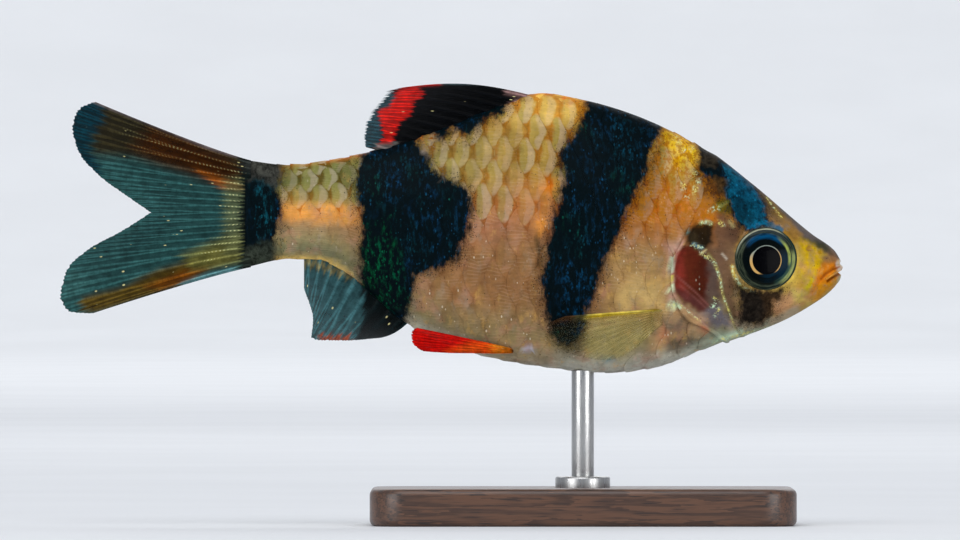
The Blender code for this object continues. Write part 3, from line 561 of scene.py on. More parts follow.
# Soft patches over the light ground: an outline, the blur of its edge, its tone, and its strength
GILL_RED = [
    (18.45, 22.4), (17.9, 21.7), (17.72, 20.8), (17.7, 20.0), (17.85, 18.95), (18.25, 18.2), (19.1, 17.4),
    (20.0, 17.1), (20.4, 17.5), (20.5, 18.6), (20.45, 19.6), (20.65, 20.5), (20.5, 21.2), (20.0, 21.65),
    (19.7, 22.0), (19.1, 22.3),
]
GILL_SPOT = [
    (18.75, 23.0), (18.95, 23.8), (19.5, 24.25), (20.2, 24.3), (20.8, 24.0), (20.95, 23.3), (20.8, 22.6),
    (20.3, 22.2), (19.7, 22.0), (19.1, 22.2),
]
PATCHES = (
    ([(16.9, 31.6), (16.6, 30.0), (17.6, 29.0), (19.4, 28.6), (19.8, 30.4), (18.2, 31.4)], 0.5,
     (238, 188, 4), 0.95),
    ([(13.6, 27.6), (12.8, 25.0), (14.6, 24.3), (17.8, 24.6), (19.9, 25.2), (19.6, 26.8), (16.5, 27.6)],
     0.7, (190, 104, 20), 0.75),
    ([(6.8, 24.9), (7.6, 24.8), (7.8, 23.7), (7.2, 23.2), (6.6, 23.9)], 0.35, (220, 140, 50), 0.8),
    ([(7.3, 27.6), (8.4, 27.8), (8.6, 26.6), (7.8, 26.2), (7.1, 26.9)], 0.4, (224, 134, 40), 0.8),
    ([(6.8, 33.0), (8.6, 32.6), (10.2, 32.4), (10.6, 34.4), (6.4, 35.0)], 0.5, (232, 176, 40), 0.7),
    ([(-13.6, 25.6), (-13.6, 24.4), (-7.6, 24.1), (-7.4, 25.5), (-10.0, 25.7)], 0.35, (224, 150, 66), 0.8),
    ([(20.9, 25.2), (21.3, 26.3), (22.3, 26.3), (22.6, 25.2), (21.9, 24.6)], 0.3, (88, 84, 6), 0.85),
    ([(20.9, 23.6), (21.2, 24.8), (22.2, 24.8), (22.9, 23.4), (22.7, 21.0), (22.5, 18.4), (22.9, 16.4),
     (22.3, 16.2), (21.8, 18.2), (21.5, 20.6)], 0.35, (98, 72, 54), 0.85),
    ([(21.6, 24.0), (22.9, 24.2), (23.6, 23.4), (22.9, 22.4), (21.8, 22.8)], 0.4, (80, 56, 42), 0.8),
    ([(22.0, 15.6), (22.0, 16.6), (23.2, 16.2), (24.6, 16.2), (26.0, 16.8), (27.6, 17.6), (27.8, 16.6),
     (25.0, 15.3), (22.0, 14.4)], 0.3, (176, 164, 140), 0.7),
    ([(19.3, 16.9), (20.3, 17.5), (21.4, 17.6), (22.3, 16.6), (22.3, 16.0), (21.2, 15.7), (20.2, 16.1)],
     0.3, (96, 92, 104), 0.85),
    ([(19.8, 14.9), (21.2, 15.4), (22.9, 15.4), (24.4, 15.8), (25.4, 16.4), (25.6, 15.4), (22.4, 14.0),
     (19.8, 13.6)], 0.3, (146, 156, 134), 0.8),
    ([(15.4, 13.6), (18.2, 14.2), (20.2, 15.4), (20.4, 16.6), (18.6, 17.6), (16.6, 16.2)], 0.6,
     (194, 152, 106), 0.8),
    ([(10.6, 13.6), (10.8, 16.4), (15.2, 17.0), (15.8, 15.0), (13.6, 13.2)], 0.6, (176, 160, 104), 0.7),
    ([(17.0, 15.4), (17.0, 16.4), (18.5, 16.6), (18.9, 15.8), (18.0, 15.2)], 0.3, (76, 74, 66), 0.8),
    ([(17.2, 13.9), (17.2, 14.9), (18.6, 15.2), (20.2, 15.2), (20.4, 14.7), (18.6, 14.0)], 0.3,
     (74, 74, 66), 0.75),
    ([(16.3, 15.3), (16.5, 15.9), (17.1, 15.8), (17.3, 14.8), (16.7, 14.6)], 0.2, (214, 140, 100), 0.7),
    ([(19.9, 15.5), (19.9, 16.0), (20.4, 15.9), (20.4, 15.5)], 0.14, (206, 120, 84), 0.8),
    ([(17.2, 22.2), (17.2, 18.6), (17.7, 17.6), (17.9, 18.6), (17.75, 20.4), (18.2, 22.0), (18.6, 23.2)],
     0.2, (204, 158, 140), 0.85),
    ([(12.6, 21.6), (15.6, 22.4), (17.2, 21.6), (17.3, 18.6), (15.8, 15.6), (12.0, 16.4), (12.2, 19.4)],
     0.8, (158, 126, 76), 0.75),
    ([(13.0, 18.6), (13.4, 16.8), (17.0, 17.0), (17.0, 19.0), (15.0, 20.0)], 0.6, (198, 166, 104), 0.7),
    ([(16.8, 29.9), (16.8, 28.8), (17.4, 28.7), (17.7, 29.6), (17.3, 30.2)], 0.25, (192, 152, 110), 0.75),
    ([(4.4, 33.6), (7.0, 34.6), (9.8, 34.2), (10.2, 32.2), (8.4, 32.0), (6.4, 31.8), (4.0, 32.2)], 0.6,
     (224, 182, 90), 0.85),
    ([(1.6, 14.4), (4.0, 15.4), (8.0, 15.4), (8.4, 12.8), (4.0, 12.6)], 0.8, (158, 134, 92), 0.7),
    ([(6.75, 23.1), (7.1, 22.4), (7.45, 21.8), (7.35, 21.0), (6.7, 20.4), (6.85, 21.4), (6.7, 22.2)], 0.16,
     (66, 50, 30), 0.85),
    ([(8.7, 30.4), (9.5, 30.2), (9.6, 28.2), (8.9, 27.6), (8.3, 28.6)], 0.3, (92, 78, 42), 0.7),
    # A painted highlight: a bluish-white spot low on the belly
    ([(5.8, 14.3), (6.2, 14.45), (6.6, 14.25), (6.5, 13.9), (6.2, 13.8), (5.9, 13.95)], 0.25,
     (206, 214, 240), 0.85),
    ([(11.8, 13.3), (13.0, 13.35), (13.0, 12.95), (11.8, 12.9)], 0.15, (92, 134, 144), 0.8),
    (GILL_RED, 0.26, (86, 30, 16), 0.97),
    ([(13.2, 24.3), (14.2, 26.0), (15.2, 28.0), (16.0, 30.2), (16.6, 32.2), (17.3, 30.0), (17.0, 27.4),
     (16.2, 25.4), (15.0, 24.0)], 0.5, (116, 72, 24), 0.75),
    ([(19.8, 26.4), (19.6, 28.2), (20.8, 28.2), (21.8, 26.6), (21.4, 26.0)], 0.4, (80, 42, 6), 0.85),
    ([(17.75, 21.6), (17.7, 20.0), (18.0, 18.8), (18.9, 18.0), (18.5, 20.2), (18.5, 22.0)], 0.4,
     (136, 48, 38), 0.8),
    ([(20.0, 22.0), (19.4, 20.5), (19.4, 18.4), (20.4, 17.6), (20.6, 20.4)], 0.5, (62, 24, 12), 0.8),
    ([(17.9, 19.0), (18.3, 18.0), (19.4, 17.2), (20.3, 17.2), (20.3, 17.9), (19.2, 18.3)], 0.3,
     (84, 48, 46), 0.7),
    ([(20.5, 21.2), (20.3, 17.4), (21.3, 17.2), (21.4, 19.6), (21.1, 21.0)], 0.34, (76, 62, 58), 0.8),
    (GILL_SPOT, 0.24, (22, 18, 8), 0.97),
    ([(18.9, 22.9), (19.2, 23.6), (19.6, 22.9), (19.9, 22.4), (19.4, 22.2)], 0.2, (66, 56, 38), 0.4),
    ([(28.0, 22.9), (28.3, 21.9), (29.2, 21.8), (29.5, 22.3), (28.9, 22.8)], 0.22, (92, 82, 14), 0.7),
    ([(23.69, 23.85), (24.67, 24.2), (25.71, 24.2), (26.69, 23.85), (26.44, 23.35), (25.62, 23.65),
     (24.76, 23.65), (23.94, 23.35)], 0.16, (20, 92, 122), 0.9),
    ([(25.2, 25.5), (26.4, 24.2), (27.6, 22.6), (27.9, 23.2), (26.6, 24.8), (25.4, 26.1)], 0.3,
     (150, 108, 36), 0.8),
    ([(24.5, 26.4), (25.2, 25.2), (26.2, 24.2), (26.6, 24.9), (25.6, 25.9), (24.6, 27.0)], 0.3,
     (104, 82, 40), 0.6),
    ([(27.8, 22.8), (28.2, 20.6), (27.8, 19.0), (28.9, 19.0), (29.6, 20.6), (29.8, 21.6), (28.9, 22.5)],
     0.35, (196, 158, 2), 0.9),
    ([(29.0, 22.9), (29.2, 22.1), (29.7, 21.8), (30.4, 21.8), (29.8, 22.6)], 0.25, (46, 48, 30), 0.85),
    ([(28.0, 19.9), (28.1, 18.9), (28.7, 18.9), (28.8, 19.8)], 0.3, (176, 168, 30), 0.6),
    ([(29.2, 20.6), (30.6, 21.0), (31.2, 20.8), (30.6, 20.0), (29.6, 19.0), (28.9, 18.6)], 0.25,
     (204, 116, 20), 0.9),
    ([(29.2, 19.2), (30.4, 19.3), (30.9, 19.4), (29.8, 18.4), (28.8, 17.9)], 0.25, (184, 122, 18), 0.85),
    ([(25.4, 18.2), (26.6, 18.6), (27.6, 18.8), (27.8, 17.7), (26.2, 16.9), (25.4, 17.2)], 0.3,
     (190, 142, 100), 0.8),
    ([(27.2, 18.8), (27.3, 17.6), (28.4, 17.8), (28.6, 18.8)], 0.3, (196, 178, 84), 0.75),
    ([(30.7, 21.3), (31.5, 21.2), (31.5, 20.4), (31.0, 20.25), (30.75, 20.7)], 0.12, (206, 198, 184), 0.85),
    ([(30.9, 20.1), (31.5, 20.1), (31.4, 19.5), (30.8, 19.5)], 0.12, (150, 150, 128), 0.7),
)
# Thin bright or dark lines: a chain of points, its width, its tone, and its strength
LINES = (
    (PREOPERCLE[1:], 0.1, (160, 150, 84), 0.5),
    # Painted glints along the rims of the gill spot
    (((19.9, 24.2), (20.3, 24.28), (20.75, 24.1)), 0.1, (190, 206, 140), 0.8),
    (((19.3, 22.5), (19.7, 22.25), (20.0, 22.15)), 0.1, (120, 160, 170), 0.8),
    (((18.85, 23.7), (18.75, 23.3)), 0.08, (110, 150, 140), 0.7),
    (((19.9, 21.7), (20.3, 22.0)), 0.08, (222, 206, 140), 0.8),
    (((22.4, 20.7), (22.5, 20.2), (22.7, 19.75)), 0.11, (206, 176, 74), 0.9),
    (((22.8, 19.4), (23.3, 18.7)), 0.08, (110, 130, 90), 0.6),
    (((21.6, 21.7), (21.95, 21.3)), 0.08, (210, 200, 180), 0.55),
    (((18.0, 19.9), (19.5, 18.6), (20.5, 17.6)), 0.09, (150, 92, 82), 0.45),
    (((18.2, 19.2), (19.2, 18.4), (20.3, 17.4)), 0.09, (140, 86, 76), 0.35),
    (((17.9, 18.3), (19.0, 17.1), (19.85, 16.45), (20.5, 15.8)), 0.06, (180, 136, 126), 0.45),
    # Painted glints: pale mint and yellow light on the gill cover's rear rim
    (((17.66, 21.5), (17.6, 21.0), (17.56, 20.3)), 0.11, (206, 226, 196), 0.85),
    (((17.55, 19.9), (17.54, 19.5)), 0.08, (206, 206, 70), 0.7),
    (((17.56, 19.2), (17.57, 18.7)), 0.13, (226, 250, 206), 1.0),
    (((17.4, 17.5), (17.8, 17.7), (18.2, 17.4)), 0.13, (226, 250, 206), 1.0),
    (((22.2, 24.3), (22.5, 23.9)), 0.14, (190, 180, 120), 0.6),
    (((21.3, 25.4), (21.8, 25.7), (22.3, 26.0)), 0.14, (150, 160, 50), 0.6),
    (((6.5, 34.75), (8.0, 34.6)), 0.16, (206, 76, 30), 0.8),
    # Painted glints along the belly's lower edge
    (((11.6, 13.4), (11.9, 13.7)), 0.08, (244, 236, 204), 0.85),
    (((13.0, 13.25), (13.3, 13.4)), 0.09, (236, 196, 170), 0.8),
    (((13.9, 13.35), (14.5, 13.35), (15.1, 13.5)), 0.11, (236, 200, 180), 0.85),
    (((16.2, 13.5), (16.5, 13.75)), 0.07, (226, 226, 206), 0.7),
    (((-14.0, 21.25), (-12.4, 21.4), (-10.6, 21.3), (-9.2, 20.8), (-8.0, 19.9)), 0.24, (222, 186, 104),
     0.95),
    (((9.0, 34.15), (9.6, 33.85)), 0.18, (222, 90, 20), 0.85),
    (((3.6, 33.6), (5.0, 34.0)), 0.14, (206, 120, 70), 0.6),
    (((18.2, 30.7), (18.35, 30.0)), 0.13, (240, 200, 10), 0.8),
    (((18.6, 30.0), (19.2, 30.25), (19.7, 29.9)), 0.13, (240, 200, 10), 0.8),
    # Painted highlights along the throat's edge
    (((19.2, 14.1), (21.2, 14.75)), 0.24, (162, 170, 150), 0.7),
    (((21.0, 14.7), (22.2, 15.15), (23.1, 15.5)), 0.26, (196, 220, 190), 0.85),
    (((31.0, 20.65), (30.5, 20.45), (29.9, 20.08), (29.55, 19.7)), 0.1, (132, 62, 6), 0.85),
    (((31.0, 20.1), (30.5, 19.8), (30.05, 19.5)), 0.09, (116, 60, 8), 0.9),
    (((31.1, 20.3), (30.5, 20.0), (30.0, 19.7)), 0.08, (232, 170, 70), 0.7),
)
BLUE_ON_BAR = [
    (21.5, 29.0), (22.0, 27.3), (22.0, 26.0), (22.6, 24.5), (23.2, 23.8), (25.2, 23.9), (25.3, 24.6),
    (25.1, 25.6), (24.6, 26.8), (23.8, 27.8), (22.4, 29.2),
]
# Tints within the ink: an outline, the blur of its edge, its tone, and its strength
INK_PATCHES = (
    (BLUE_ON_BAR, 0.25, (6, 80, 106), 0.95),
    ([(22.4, 26.4), (22.9, 24.2), (24.0, 24.3), (23.7, 25.4), (23.2, 26.6)], 0.35, (2, 40, 56), 0.22),
    ([(21.6, 28.9), (22.4, 27.6), (22.9, 27.8), (22.4, 29.0)], 0.25, (6, 84, 106), 0.7),
    ([(23.4, 23.7), (24.2, 24.35), (25.4, 24.3), (26.4, 23.6), (26.2, 23.2), (25.2, 23.9)], 0.12,
     (6, 100, 136), 0.8),
    ([(19.8, 30.6), (19.9, 28.6), (21.0, 28.4), (21.8, 29.4)], 0.3, (44, 38, 28), 0.85),
    ([(20.9, 27.8), (21.0, 26.6), (21.9, 26.2), (22.0, 27.6)], 0.3, (74, 52, 24), 0.7),
    ([(8.4, 20.6), (8.6, 17.0), (9.4, 13.6), (10.6, 15.6), (11.6, 19.6), (12.0, 21.0)], 0.9, (6, 54, 84),
     0.95),
    ([(12.4, 32.8), (12.8, 29.6), (13.6, 26.6), (14.8, 28.6), (15.6, 31.6)], 0.9, (8, 58, 76), 0.9),
    ([(-6.4, 29.4), (-6.2, 25.4), (-3.6, 25.0), (-3.4, 29.4)], 0.9, (8, 48, 80), 0.9),
    ([(-4.8, 24.4), (-4.2, 24.4), (-4.2, 23.2), (-4.8, 23.2)], 0.3, (12, 56, 90), 0.9),
    ([(-7.4, 24.0), (-7.4, 18.0), (-5.4, 16.6), (-3.8, 18.0), (-4.0, 21.6), (-5.4, 24.4)], 0.9, (0, 84, 42),
     0.95),
    ([(-18.2, 32.0), (-18.2, 28.0), (-15.9, 27.8), (-14.6, 27.5), (-12.6, 26.6), (-12.4, 32.0)], 0.9,
     (60, 60, 54), 0.9),
    ([(-15.8, 27.4), (-15.6, 22.8), (-14.4, 23.4), (-14.2, 26.8)], 0.4, (12, 76, 86), 0.9),
    ([(-0.95, 28.4), (-0.6, 30.0), (-0.3, 30.2), (-0.15, 29.2), (-0.25, 27.9), (-0.7, 27.7)], 0.12,
     (124, 118, 108), 0.8),
    ([(-2.3, 29.9), (-2.1, 31.1), (-1.5, 31.2), (-1.1, 30.6), (-1.3, 29.7), (-1.9, 29.4)], 0.12,
     (130, 118, 106), 0.8),
    ([(-18.2, 22.6), (-16.0, 22.2), (-14.6, 22.6), (-12.9, 22.2), (-12.6, 18.0), (-18.2, 18.0)], 0.9,
     (52, 58, 48), 0.85),
    ([(22.4, 19.6), (22.4, 15.6), (26.0, 15.6), (27.4, 19.4)], 0.2, (34, 28, 22), 0.9),
    ([(24.8, 18.6), (25.0, 16.4), (25.9, 17.0), (26.6, 18.9)], 0.4, (54, 38, 22), 0.8),
)


# Where glints are painted on the skin: chains of points and how wide
PAINTED_GLINT_LINES = (
    (((20.0, 21.75), (20.35, 21.5), (20.9, 21.1)), 0.12),
    (((20.95, 21.1), (21.2, 20.4), (21.45, 19.6), (21.55, 18.8)), 0.1),
    (((21.55, 18.8), (21.8, 18.0), (22.2, 17.0), (22.5, 16.2)), 0.07),
    (((20.9, 18.2), (21.3, 17.9), (20.7, 17.5), (21.4, 17.3), (21.0, 16.7)), 0.08),
    (((20.6, 25.1), (21.1, 25.4), (21.3, 25.3)), 0.14),
    (((21.3, 24.2), (21.7, 24.0)), 0.14),
    (((19.8, 24.15), (20.3, 24.28), (20.75, 24.1)), 0.12),
    (((19.2, 22.4), (19.6, 22.25), (20.0, 22.2)), 0.12),
    (((17.5, 21.3), (17.45, 20.3)), 0.08),
    (((17.4, 19.3), (17.4, 18.6)), 0.12),
    (((17.5, 17.75), (17.9, 17.4)), 0.16),
    (((18.0, 17.9), (19.0, 17.0), (19.85, 16.35)), 0.06),
    (((22.4, 20.75), (22.5, 20.1), (22.9, 19.4), (23.4, 18.9), (24.2, 18.6)), 0.12),
    (((17.9, 31.2), (18.2, 30.4), (18.7, 30.0), (19.4, 30.3)), 0.08),
    (((18.6, 27.4), (18.8, 28.1), (19.3, 28.4), (19.7, 27.6), (19.4, 26.5), (18.8, 26.4), (18.6, 27.2)),
     0.07),
    (((25.9, 15.9), (24.4, 15.5), (22.6, 15.1), (21.0, 14.7)), 0.16),
    (((26.4, 24.6), (25.6, 25.6), (25.2, 26.2)), 0.07),
)


def lay_patches(colour, x, z, patches):
    """Lays soft patches over the colours at places seen from the side."""
    for outline, blur, shown, strength in patches:
        weight = strength * smooth_step(inside(x, z, outline) / (2 * blur) + 0.5)
        colour += (tone(*shown) - colour) * weight[:, None]


def lay_lines(colour, x, z, lines):
    """Lays thin soft lines over the colours."""
    for line, width, shown, strength in lines:
        weight = strength * bump(to_line(x, z, line), width)
        colour += (tone(*shown) - colour) * weight[:, None]


def ripple(first, second, slow, fast):
    """How far uneven waves shift a place, so that no painted edge is a plain curve."""
    (a, b, c), (d, e) = slow, fast
    return 0.11 * np.sin(a * first + b * np.sin(c * second)) + 0.05 * np.sin(d * first + e * second)


def paint(points):
    """The markings at places on the body: the light ground, the ink, and the depth within a bar."""
    x, z = points[:, 0], points[:, 2]
    share = np.clip((z - belly(x)) / np.maximum(back(x) - belly(x), 0.5), 0.0, 1.0)
    columns = []
    for _, stops in GROUND_STATIONS:
        heights = [height for height, _ in stops]
        tones = np.array([tone(*shown) for _, shown in stops])
        columns.append(np.stack([np.interp(share, heights, tones[:, c]) for c in range(3)], axis=1))
    stations = [station for station, _ in GROUND_STATIONS]
    at = np.clip(np.interp(x, stations, range(len(stations))), 0, len(stations) - 1.001)
    first = at.astype(int)
    part = (at - first)[:, None]
    columns = np.array(columns)
    every = np.arange(len(x))
    ground = columns[first, every] * (1 - part) + columns[first + 1, every] * part
    ink = np.tile(BAR_INK, (len(x), 1))
    ragged_x = x + ripple(z, x, (3.1, 1.7, 2.3), (9.7, 5.1))
    ragged_z = z + ripple(x, z, (2.9, 1.3, 2.7), (8.9, -4.3))
    lay_patches(ground, ragged_x, ragged_z, PATCHES)
    lay_patches(ink, ragged_x, ragged_z, INK_PATCHES)
    lay_lines(ground, x, z, LINES)
    bar = np.max([inside(x, z, outline) for outline in BARS], axis=0)
    return ground, ink, bar


def write_attribute(mesh, name, values):
    """Stores one value, or three, for each vertex."""
    values = np.asarray(values, float)
    if values.ndim == 1:
        kind, field = "FLOAT", "value"
    elif name.startswith("on_"):
        kind, field = "FLOAT_VECTOR", "vector"
    else:
        kind, field = "FLOAT_COLOR", "color"
        values = np.concatenate([values, np.ones((len(values), 1))], axis=1)
    mesh.attributes.new(name, kind, "POINT").data.foreach_set(field, values.ravel())


def wear_markings(made, points):
    """Stores the markings on a mesh, with how strongly glints are painted on it."""
    ground, ink, bar = paint(points)
    x, z = points[:, 0], points[:, 2]
    glints_and_beads = np.max([bump(to_line(x, z, line), width) for line, width in PAINTED_GLINT_LINES], axis=0)
    write_attribute(made.data, "glints_and_beads", glints_and_beads)
    write_attribute(made.data, "ground", ground)
    write_attribute(made.data, "ink", ink)
    write_attribute(made.data, "bar", np.clip(bar, -3.0, 3.0))


wear_markings(skin, skin_points)


def read_attribute(tree, name, output="Color"):
    """What was stored on the mesh under a name: a colour, or else a Vector or a single Fac."""
    return node(tree, "Attribute", attribute_name=name).outputs[output]


def grey(tree, value, low, high):
    """A grey that swings between two brightnesses."""
    level = remap(tree, value, 0.3, 0.7, low, high)
    return vector_of(tree, level, level, level)


def cells(tree, place):
    """Scattered points: the distance to the nearest, and three chances of its own."""
    made = node(tree, "TexVoronoi", {"Vector": place, "Scale": 1.0})
    return made.outputs["Distance"], channels(tree, made.outputs["Color"])


def fleck(tree, stretch, size, chance):
    """Bright flecks of uneven size on some of the scattered points."""
    distance, draw = cells(tree, in_millimetres(tree, stretch))
    wide = remap(tree, draw[1], 0.0, 1.0, 0.4 * size, size)
    lit = remap(tree, maths(tree, "DIVIDE", distance, wide), 0.7, 1.0, 1.0, 0.0)
    return times(tree, lit, maths(tree, "LESS_THAN", draw[0], chance))


def bar_flecks_and_glints(tree, ink):
    """The bars' ink with its upright flecks of teal, blue and green, some with brighter painted glints."""
    weave = clouds(tree, (3.2, 2.0, 1.2), 1.0, 4.0, 0.68)
    mottle = clouds(tree, (2.4, 2.0, 2.0), 1.0, 5.0, 0.75)
    cloud = clouds(tree, (0.6, 0.6, 0.4), 1.0, 3.0, 0.6)
    hue = clouds(tree, (1.0, 1.0, 0.6), 0.45)
    teal = mix(tree, remap(tree, hue, 0.4, 0.58), tone(8, 54, 56), tone(10, 52, 82))
    teal = mix(tree, remap(tree, hue, 0.32, 0.42, 1.0, 0.0), teal, tone(10, 70, 46))
    red, green, blue = channels(tree, ink)
    tinted = remap(tree, green, 0.012, 0.035)
    crowd = maths(tree, "ADD", remap(tree, cloud, 0.36, 0.6, 0.1, 0.55), times(tree, tinted, 0.35))
    lit = times(tree, remap(tree, weave, 0.48, 0.66), crowd)
    lit = maths(tree, "MAXIMUM", lit, remap(tree, blue, 0.09, 0.15, 0.0, 0.85))
    lit = times(tree, lit, remap(tree, weave, 0.3, 0.5, 0.55, 1.0))
    hue = mix(tree, tinted, teal, mix(tree, 0.15, ink, teal))
    hue = shaded(tree, hue, grey(tree, mottle, 0.3, 1.7))
    dark = mix(tree, lit, BAR_INK, hue)
    # Painted glints: brighter copies of the fleck hue on some of the flecks
    painted_glint = fleck(tree, (5.4, 2.0, 3.4), 0.5, times(tree, crowd, 0.3))
    dark = mix(tree, times(tree, painted_glint, 0.5), dark, shaded(tree, hue, (1.5, 1.7, 1.7)))
    own = remap(tree, red, 0.006, 0.014)
    return mix(tree, own, dark, shaded(tree, ink, grey(tree, mottle, 0.2, 1.6)))


def scale_pattern(tree, ground):
    """On each scale a pale almond with a bright front edge, fine lines, and a golden-brown gap."""
    along, across, chance = axes(tree, read_attribute(tree, "on_scale", "Vector"))
    fan = maths(tree, "DIVIDE", across, maths(tree, "ADD", along, 2.2))
    lines = remap(tree, maths(tree, "SINE", times(tree, fan, 105.0)), 0.1, 1.0, 0.0, 0.13)
    some = remap(tree, clouds(tree, (0.7, 1.0, 0.8)), 0.46, 0.6)
    ground = mix(tree, times(tree, lines, some), ground, tone(206, 176, 142))
    wobble = clouds(tree, (1.0, 1.0, 0.6), 1.1, 3.0, 0.55)
    wobble = times(tree, maths(tree, "SUBTRACT", wobble, 0.5), 0.5)
    along, aside = maths(tree, "ADD", along, wobble), maths(tree, "ABSOLUTE", across)
    bow = maths(tree, "MULTIPLY_ADD", times(tree, aside, aside), -0.4, along)
    slant = maths(tree, "MULTIPLY_ADD", across, 0.08, bow)
    tall = maths(tree, "POWER", maths(tree, "DIVIDE", aside, 0.7), 4.0)
    strip = maths(tree, "DIVIDE", maths(tree, "ADD", slant, 0.12), 0.17)
    strip = remap(tree, maths(tree, "MULTIPLY_ADD", strip, strip, tall), 0.3, 1.6, 0.92, 0.0)
    wing = maths(tree, "DIVIDE", maths(tree, "SUBTRACT", slant, 0.02), 0.34)
    wing = remap(tree, maths(tree, "MULTIPLY_ADD", wing, wing, tall), 0.5, 1.5, 1.0, 0.0)
    show = times(tree, read_attribute(tree, "scale_show", "Fac"), remap(tree, chance, 0.0, 0.6, 0.6, 1.0))
    nape = remap(tree, axes(tree, in_millimetres(tree))[0], 12.0, 14.5, 1.0, 0.65)
    gap = mix(tree, 0.85, ground, shaded(tree, ground, tone(218, 174, 84)))
    olive = mix(tree, remap(tree, chance, 0.2, 1.0, 0.2, 0.55), ground, tone(140, 136, 72))
    leaf = shaded(tree, ground, (1.06, 1.06, 1.15))
    leaf = mix(tree, remap(tree, chance, 0.0, 0.8, 0.3, 0.55), leaf, tone(170, 156, 130))
    gap = mix(tree, wing, gap, olive)
    return mix(tree, times(tree, show, nape), ground, mix(tree, strip, gap, leaf))


def coat_material(name, scaled):
    """Painted, glossy fish skin, with or without the pattern of its scales."""
    material, tree, shader = new_material(name, 0.42)
    place = in_millimetres(tree)
    ahead, _, height = axes(tree, place)
    # The light ground, with its clouds of rose, grey and gold
    ground = read_attribute(tree, "ground")
    ground = shaded(tree, ground, grey(tree, clouds(tree, (1.0, 1.0, 0.7), 0.7, 4.0, 0.6), 0.8, 1.14))
    pale = remap(tree, channels(tree, ground)[1], 0.06, 0.16)
    flesh = times(tree, pale, remap(tree, height, 24.0, 28.0, 1.0, 0.4))
    blush = clouds(tree, (0.8, 1.0, 0.9), 0.6, 4.0, 0.65)
    shade = clouds(tree, (1.3, 1.0, 0.7), 0.9, 4.0, 0.65)
    for share, tint in (
        (times(tree, flesh, remap(tree, blush, 0.52, 0.68, 0.0, 0.4)), tone(176, 122, 100)),
        (times(tree, flesh, remap(tree, shade, 0.52, 0.7, 0.0, 0.45)), tone(140, 128, 110)),
        (times(tree, pale, remap(tree, shade, 0.3, 0.44, 0.4, 0.0)), tone(202, 158, 84)),
    ):
        ground = mix(tree, share, ground, tint)
    if scaled:
        ground = scale_pattern(tree, ground)
    fibres = clouds(tree, (0.7, 1.0, 2.2), 1.4, 4.0, 0.65)
    ground = mix(tree, 0.5, ground, grey(tree, fibres, 0.78, 1.2), "MULTIPLY")
    # Grains on the nape, freckles, small painted wet highlights low on the flank, and painted glints on the
    # bright lines
    granules = remap(tree, clouds(tree, (1.2, 1.0, 0.9), 2.6, 4.0, 0.65), 0.47, 0.58, 0.0, 0.7)
    nape = times(tree, remap(tree, ahead, 12.0, 14.5), remap(tree, ahead, 20.5, 22.5, 1.0, 0.0))
    nape = times(tree, nape, remap(tree, height, 23.5, 25.0), granules)
    ground = mix(tree, nape, ground, tone(158, 98, 14))
    freckles = times(tree, fleck(tree, (5.0, 5.0, 5.0), 0.4, 0.3), 0.25)
    ground = mix(tree, freckles, ground, tone(80, 54, 28))
    low, behind = remap(tree, height, 20.0, 27.0, 1.0, 0.25), remap(tree, ahead, 17.0, 22.0, 1.0, 0.1)
    # Painted highlights: small near-white wet lights, mostly low on the flank
    painted_wet_highlight = times(tree, fleck(tree, (4.0, 2.0, 2.2), 0.3, 0.22), times(tree, low, behind))
    painted_wet_highlight = times(tree, painted_wet_highlight, remap(tree, blush, 0.4, 0.55, 0.1, 0.55))
    ground = mix(tree, painted_wet_highlight, ground, tone(232, 222, 196))
    grain = noise(tree, place, 5.5, 3.0, 0.7)
    # Painted glints: grains of mint and gold light along the painted glint lines
    glints_and_beads = times(tree, read_attribute(tree, "glints_and_beads", "Fac"), remap(tree, grain, 0.46, 0.6))
    hue = remap(tree, noise(tree, place, 1.3), 0.42, 0.58)
    ground = mix(tree, glints_and_beads, ground, mix(tree, hue, tone(232, 222, 120), tone(206, 236, 196)))
    # The ink, which breaks up into dust along the ragged edges of the bars
    ragged = maths(tree, "SUBTRACT", clouds(tree, (1.6, 1.0, 0.8), 1.2, 5.0, 0.75), 0.5)
    edge = maths(tree, "MULTIPLY_ADD", ragged, 1.7, read_attribute(tree, "bar", "Fac"))
    haze = remap(tree, edge, -1.2, 0.2, 0.0, 0.6)
    ground = mix(tree, haze, ground, shaded(tree, ground, (0.42, 0.36, 0.32)))
    dust = fleck(tree, (11.0, 11.0, 9.5), 0.66, remap(tree, edge, -1.0, 0.1, 0.004, 0.8))
    mask = maths(tree, "MAXIMUM", remap(tree, edge, -0.3, 0.3), times(tree, dust, 0.7))
    colour = mix(tree, mask, ground, bar_flecks_and_glints(tree, read_attribute(tree, "ink")))
    finish(
        tree, shader, colour, grain, 0.12, 0.06 * MM,
        Specular_IOR_Level=0.02, Coat_Weight=0.01, Coat_Roughness=0.12,
    )
    return material


skin.data.materials.append(coat_material("fish skin", False))
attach(skin, "root")
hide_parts("head", "gill_cover_left", "gill_cover_right", "trunk", "tail_root")

# The scales
# Large thin plates in slanting rows, rooted in the skin towards the head, each with its free
# rear edge over the roots of the next. They cover all but the head.
PITCH, ROW_STEP = 1.72, 2.12
DEEPEST, SLIMMING = 22.0, 0.42
MIDDLE_ROW = ((-17.5, 24.9), (-8.0, 24.9), (0.0, 24.2), (8.0, 23.0), (18.0, 21.2), (23.0, 20.6))
# One scale, in shares of the pitch and of the row's step: how far it reaches ahead of its middle
# and behind it, and half its height; then its thickness, and how its root and rear edge lie
SCALE_LENGTH, SCALE_REAR, SCALE_HALF = 1.25, 0.52, 1.16
SCALE_THICK, SCALE_ROOT, SCALE_LIFT = 0.045, -0.16, 0.0
SCALE_ROUNDING, ROOT_ROUNDING, EDGE_CROWDING = 0.56, 0.5, 0.6
SCALE_GRID, PLATE_THICK = (6, 7), 0.1
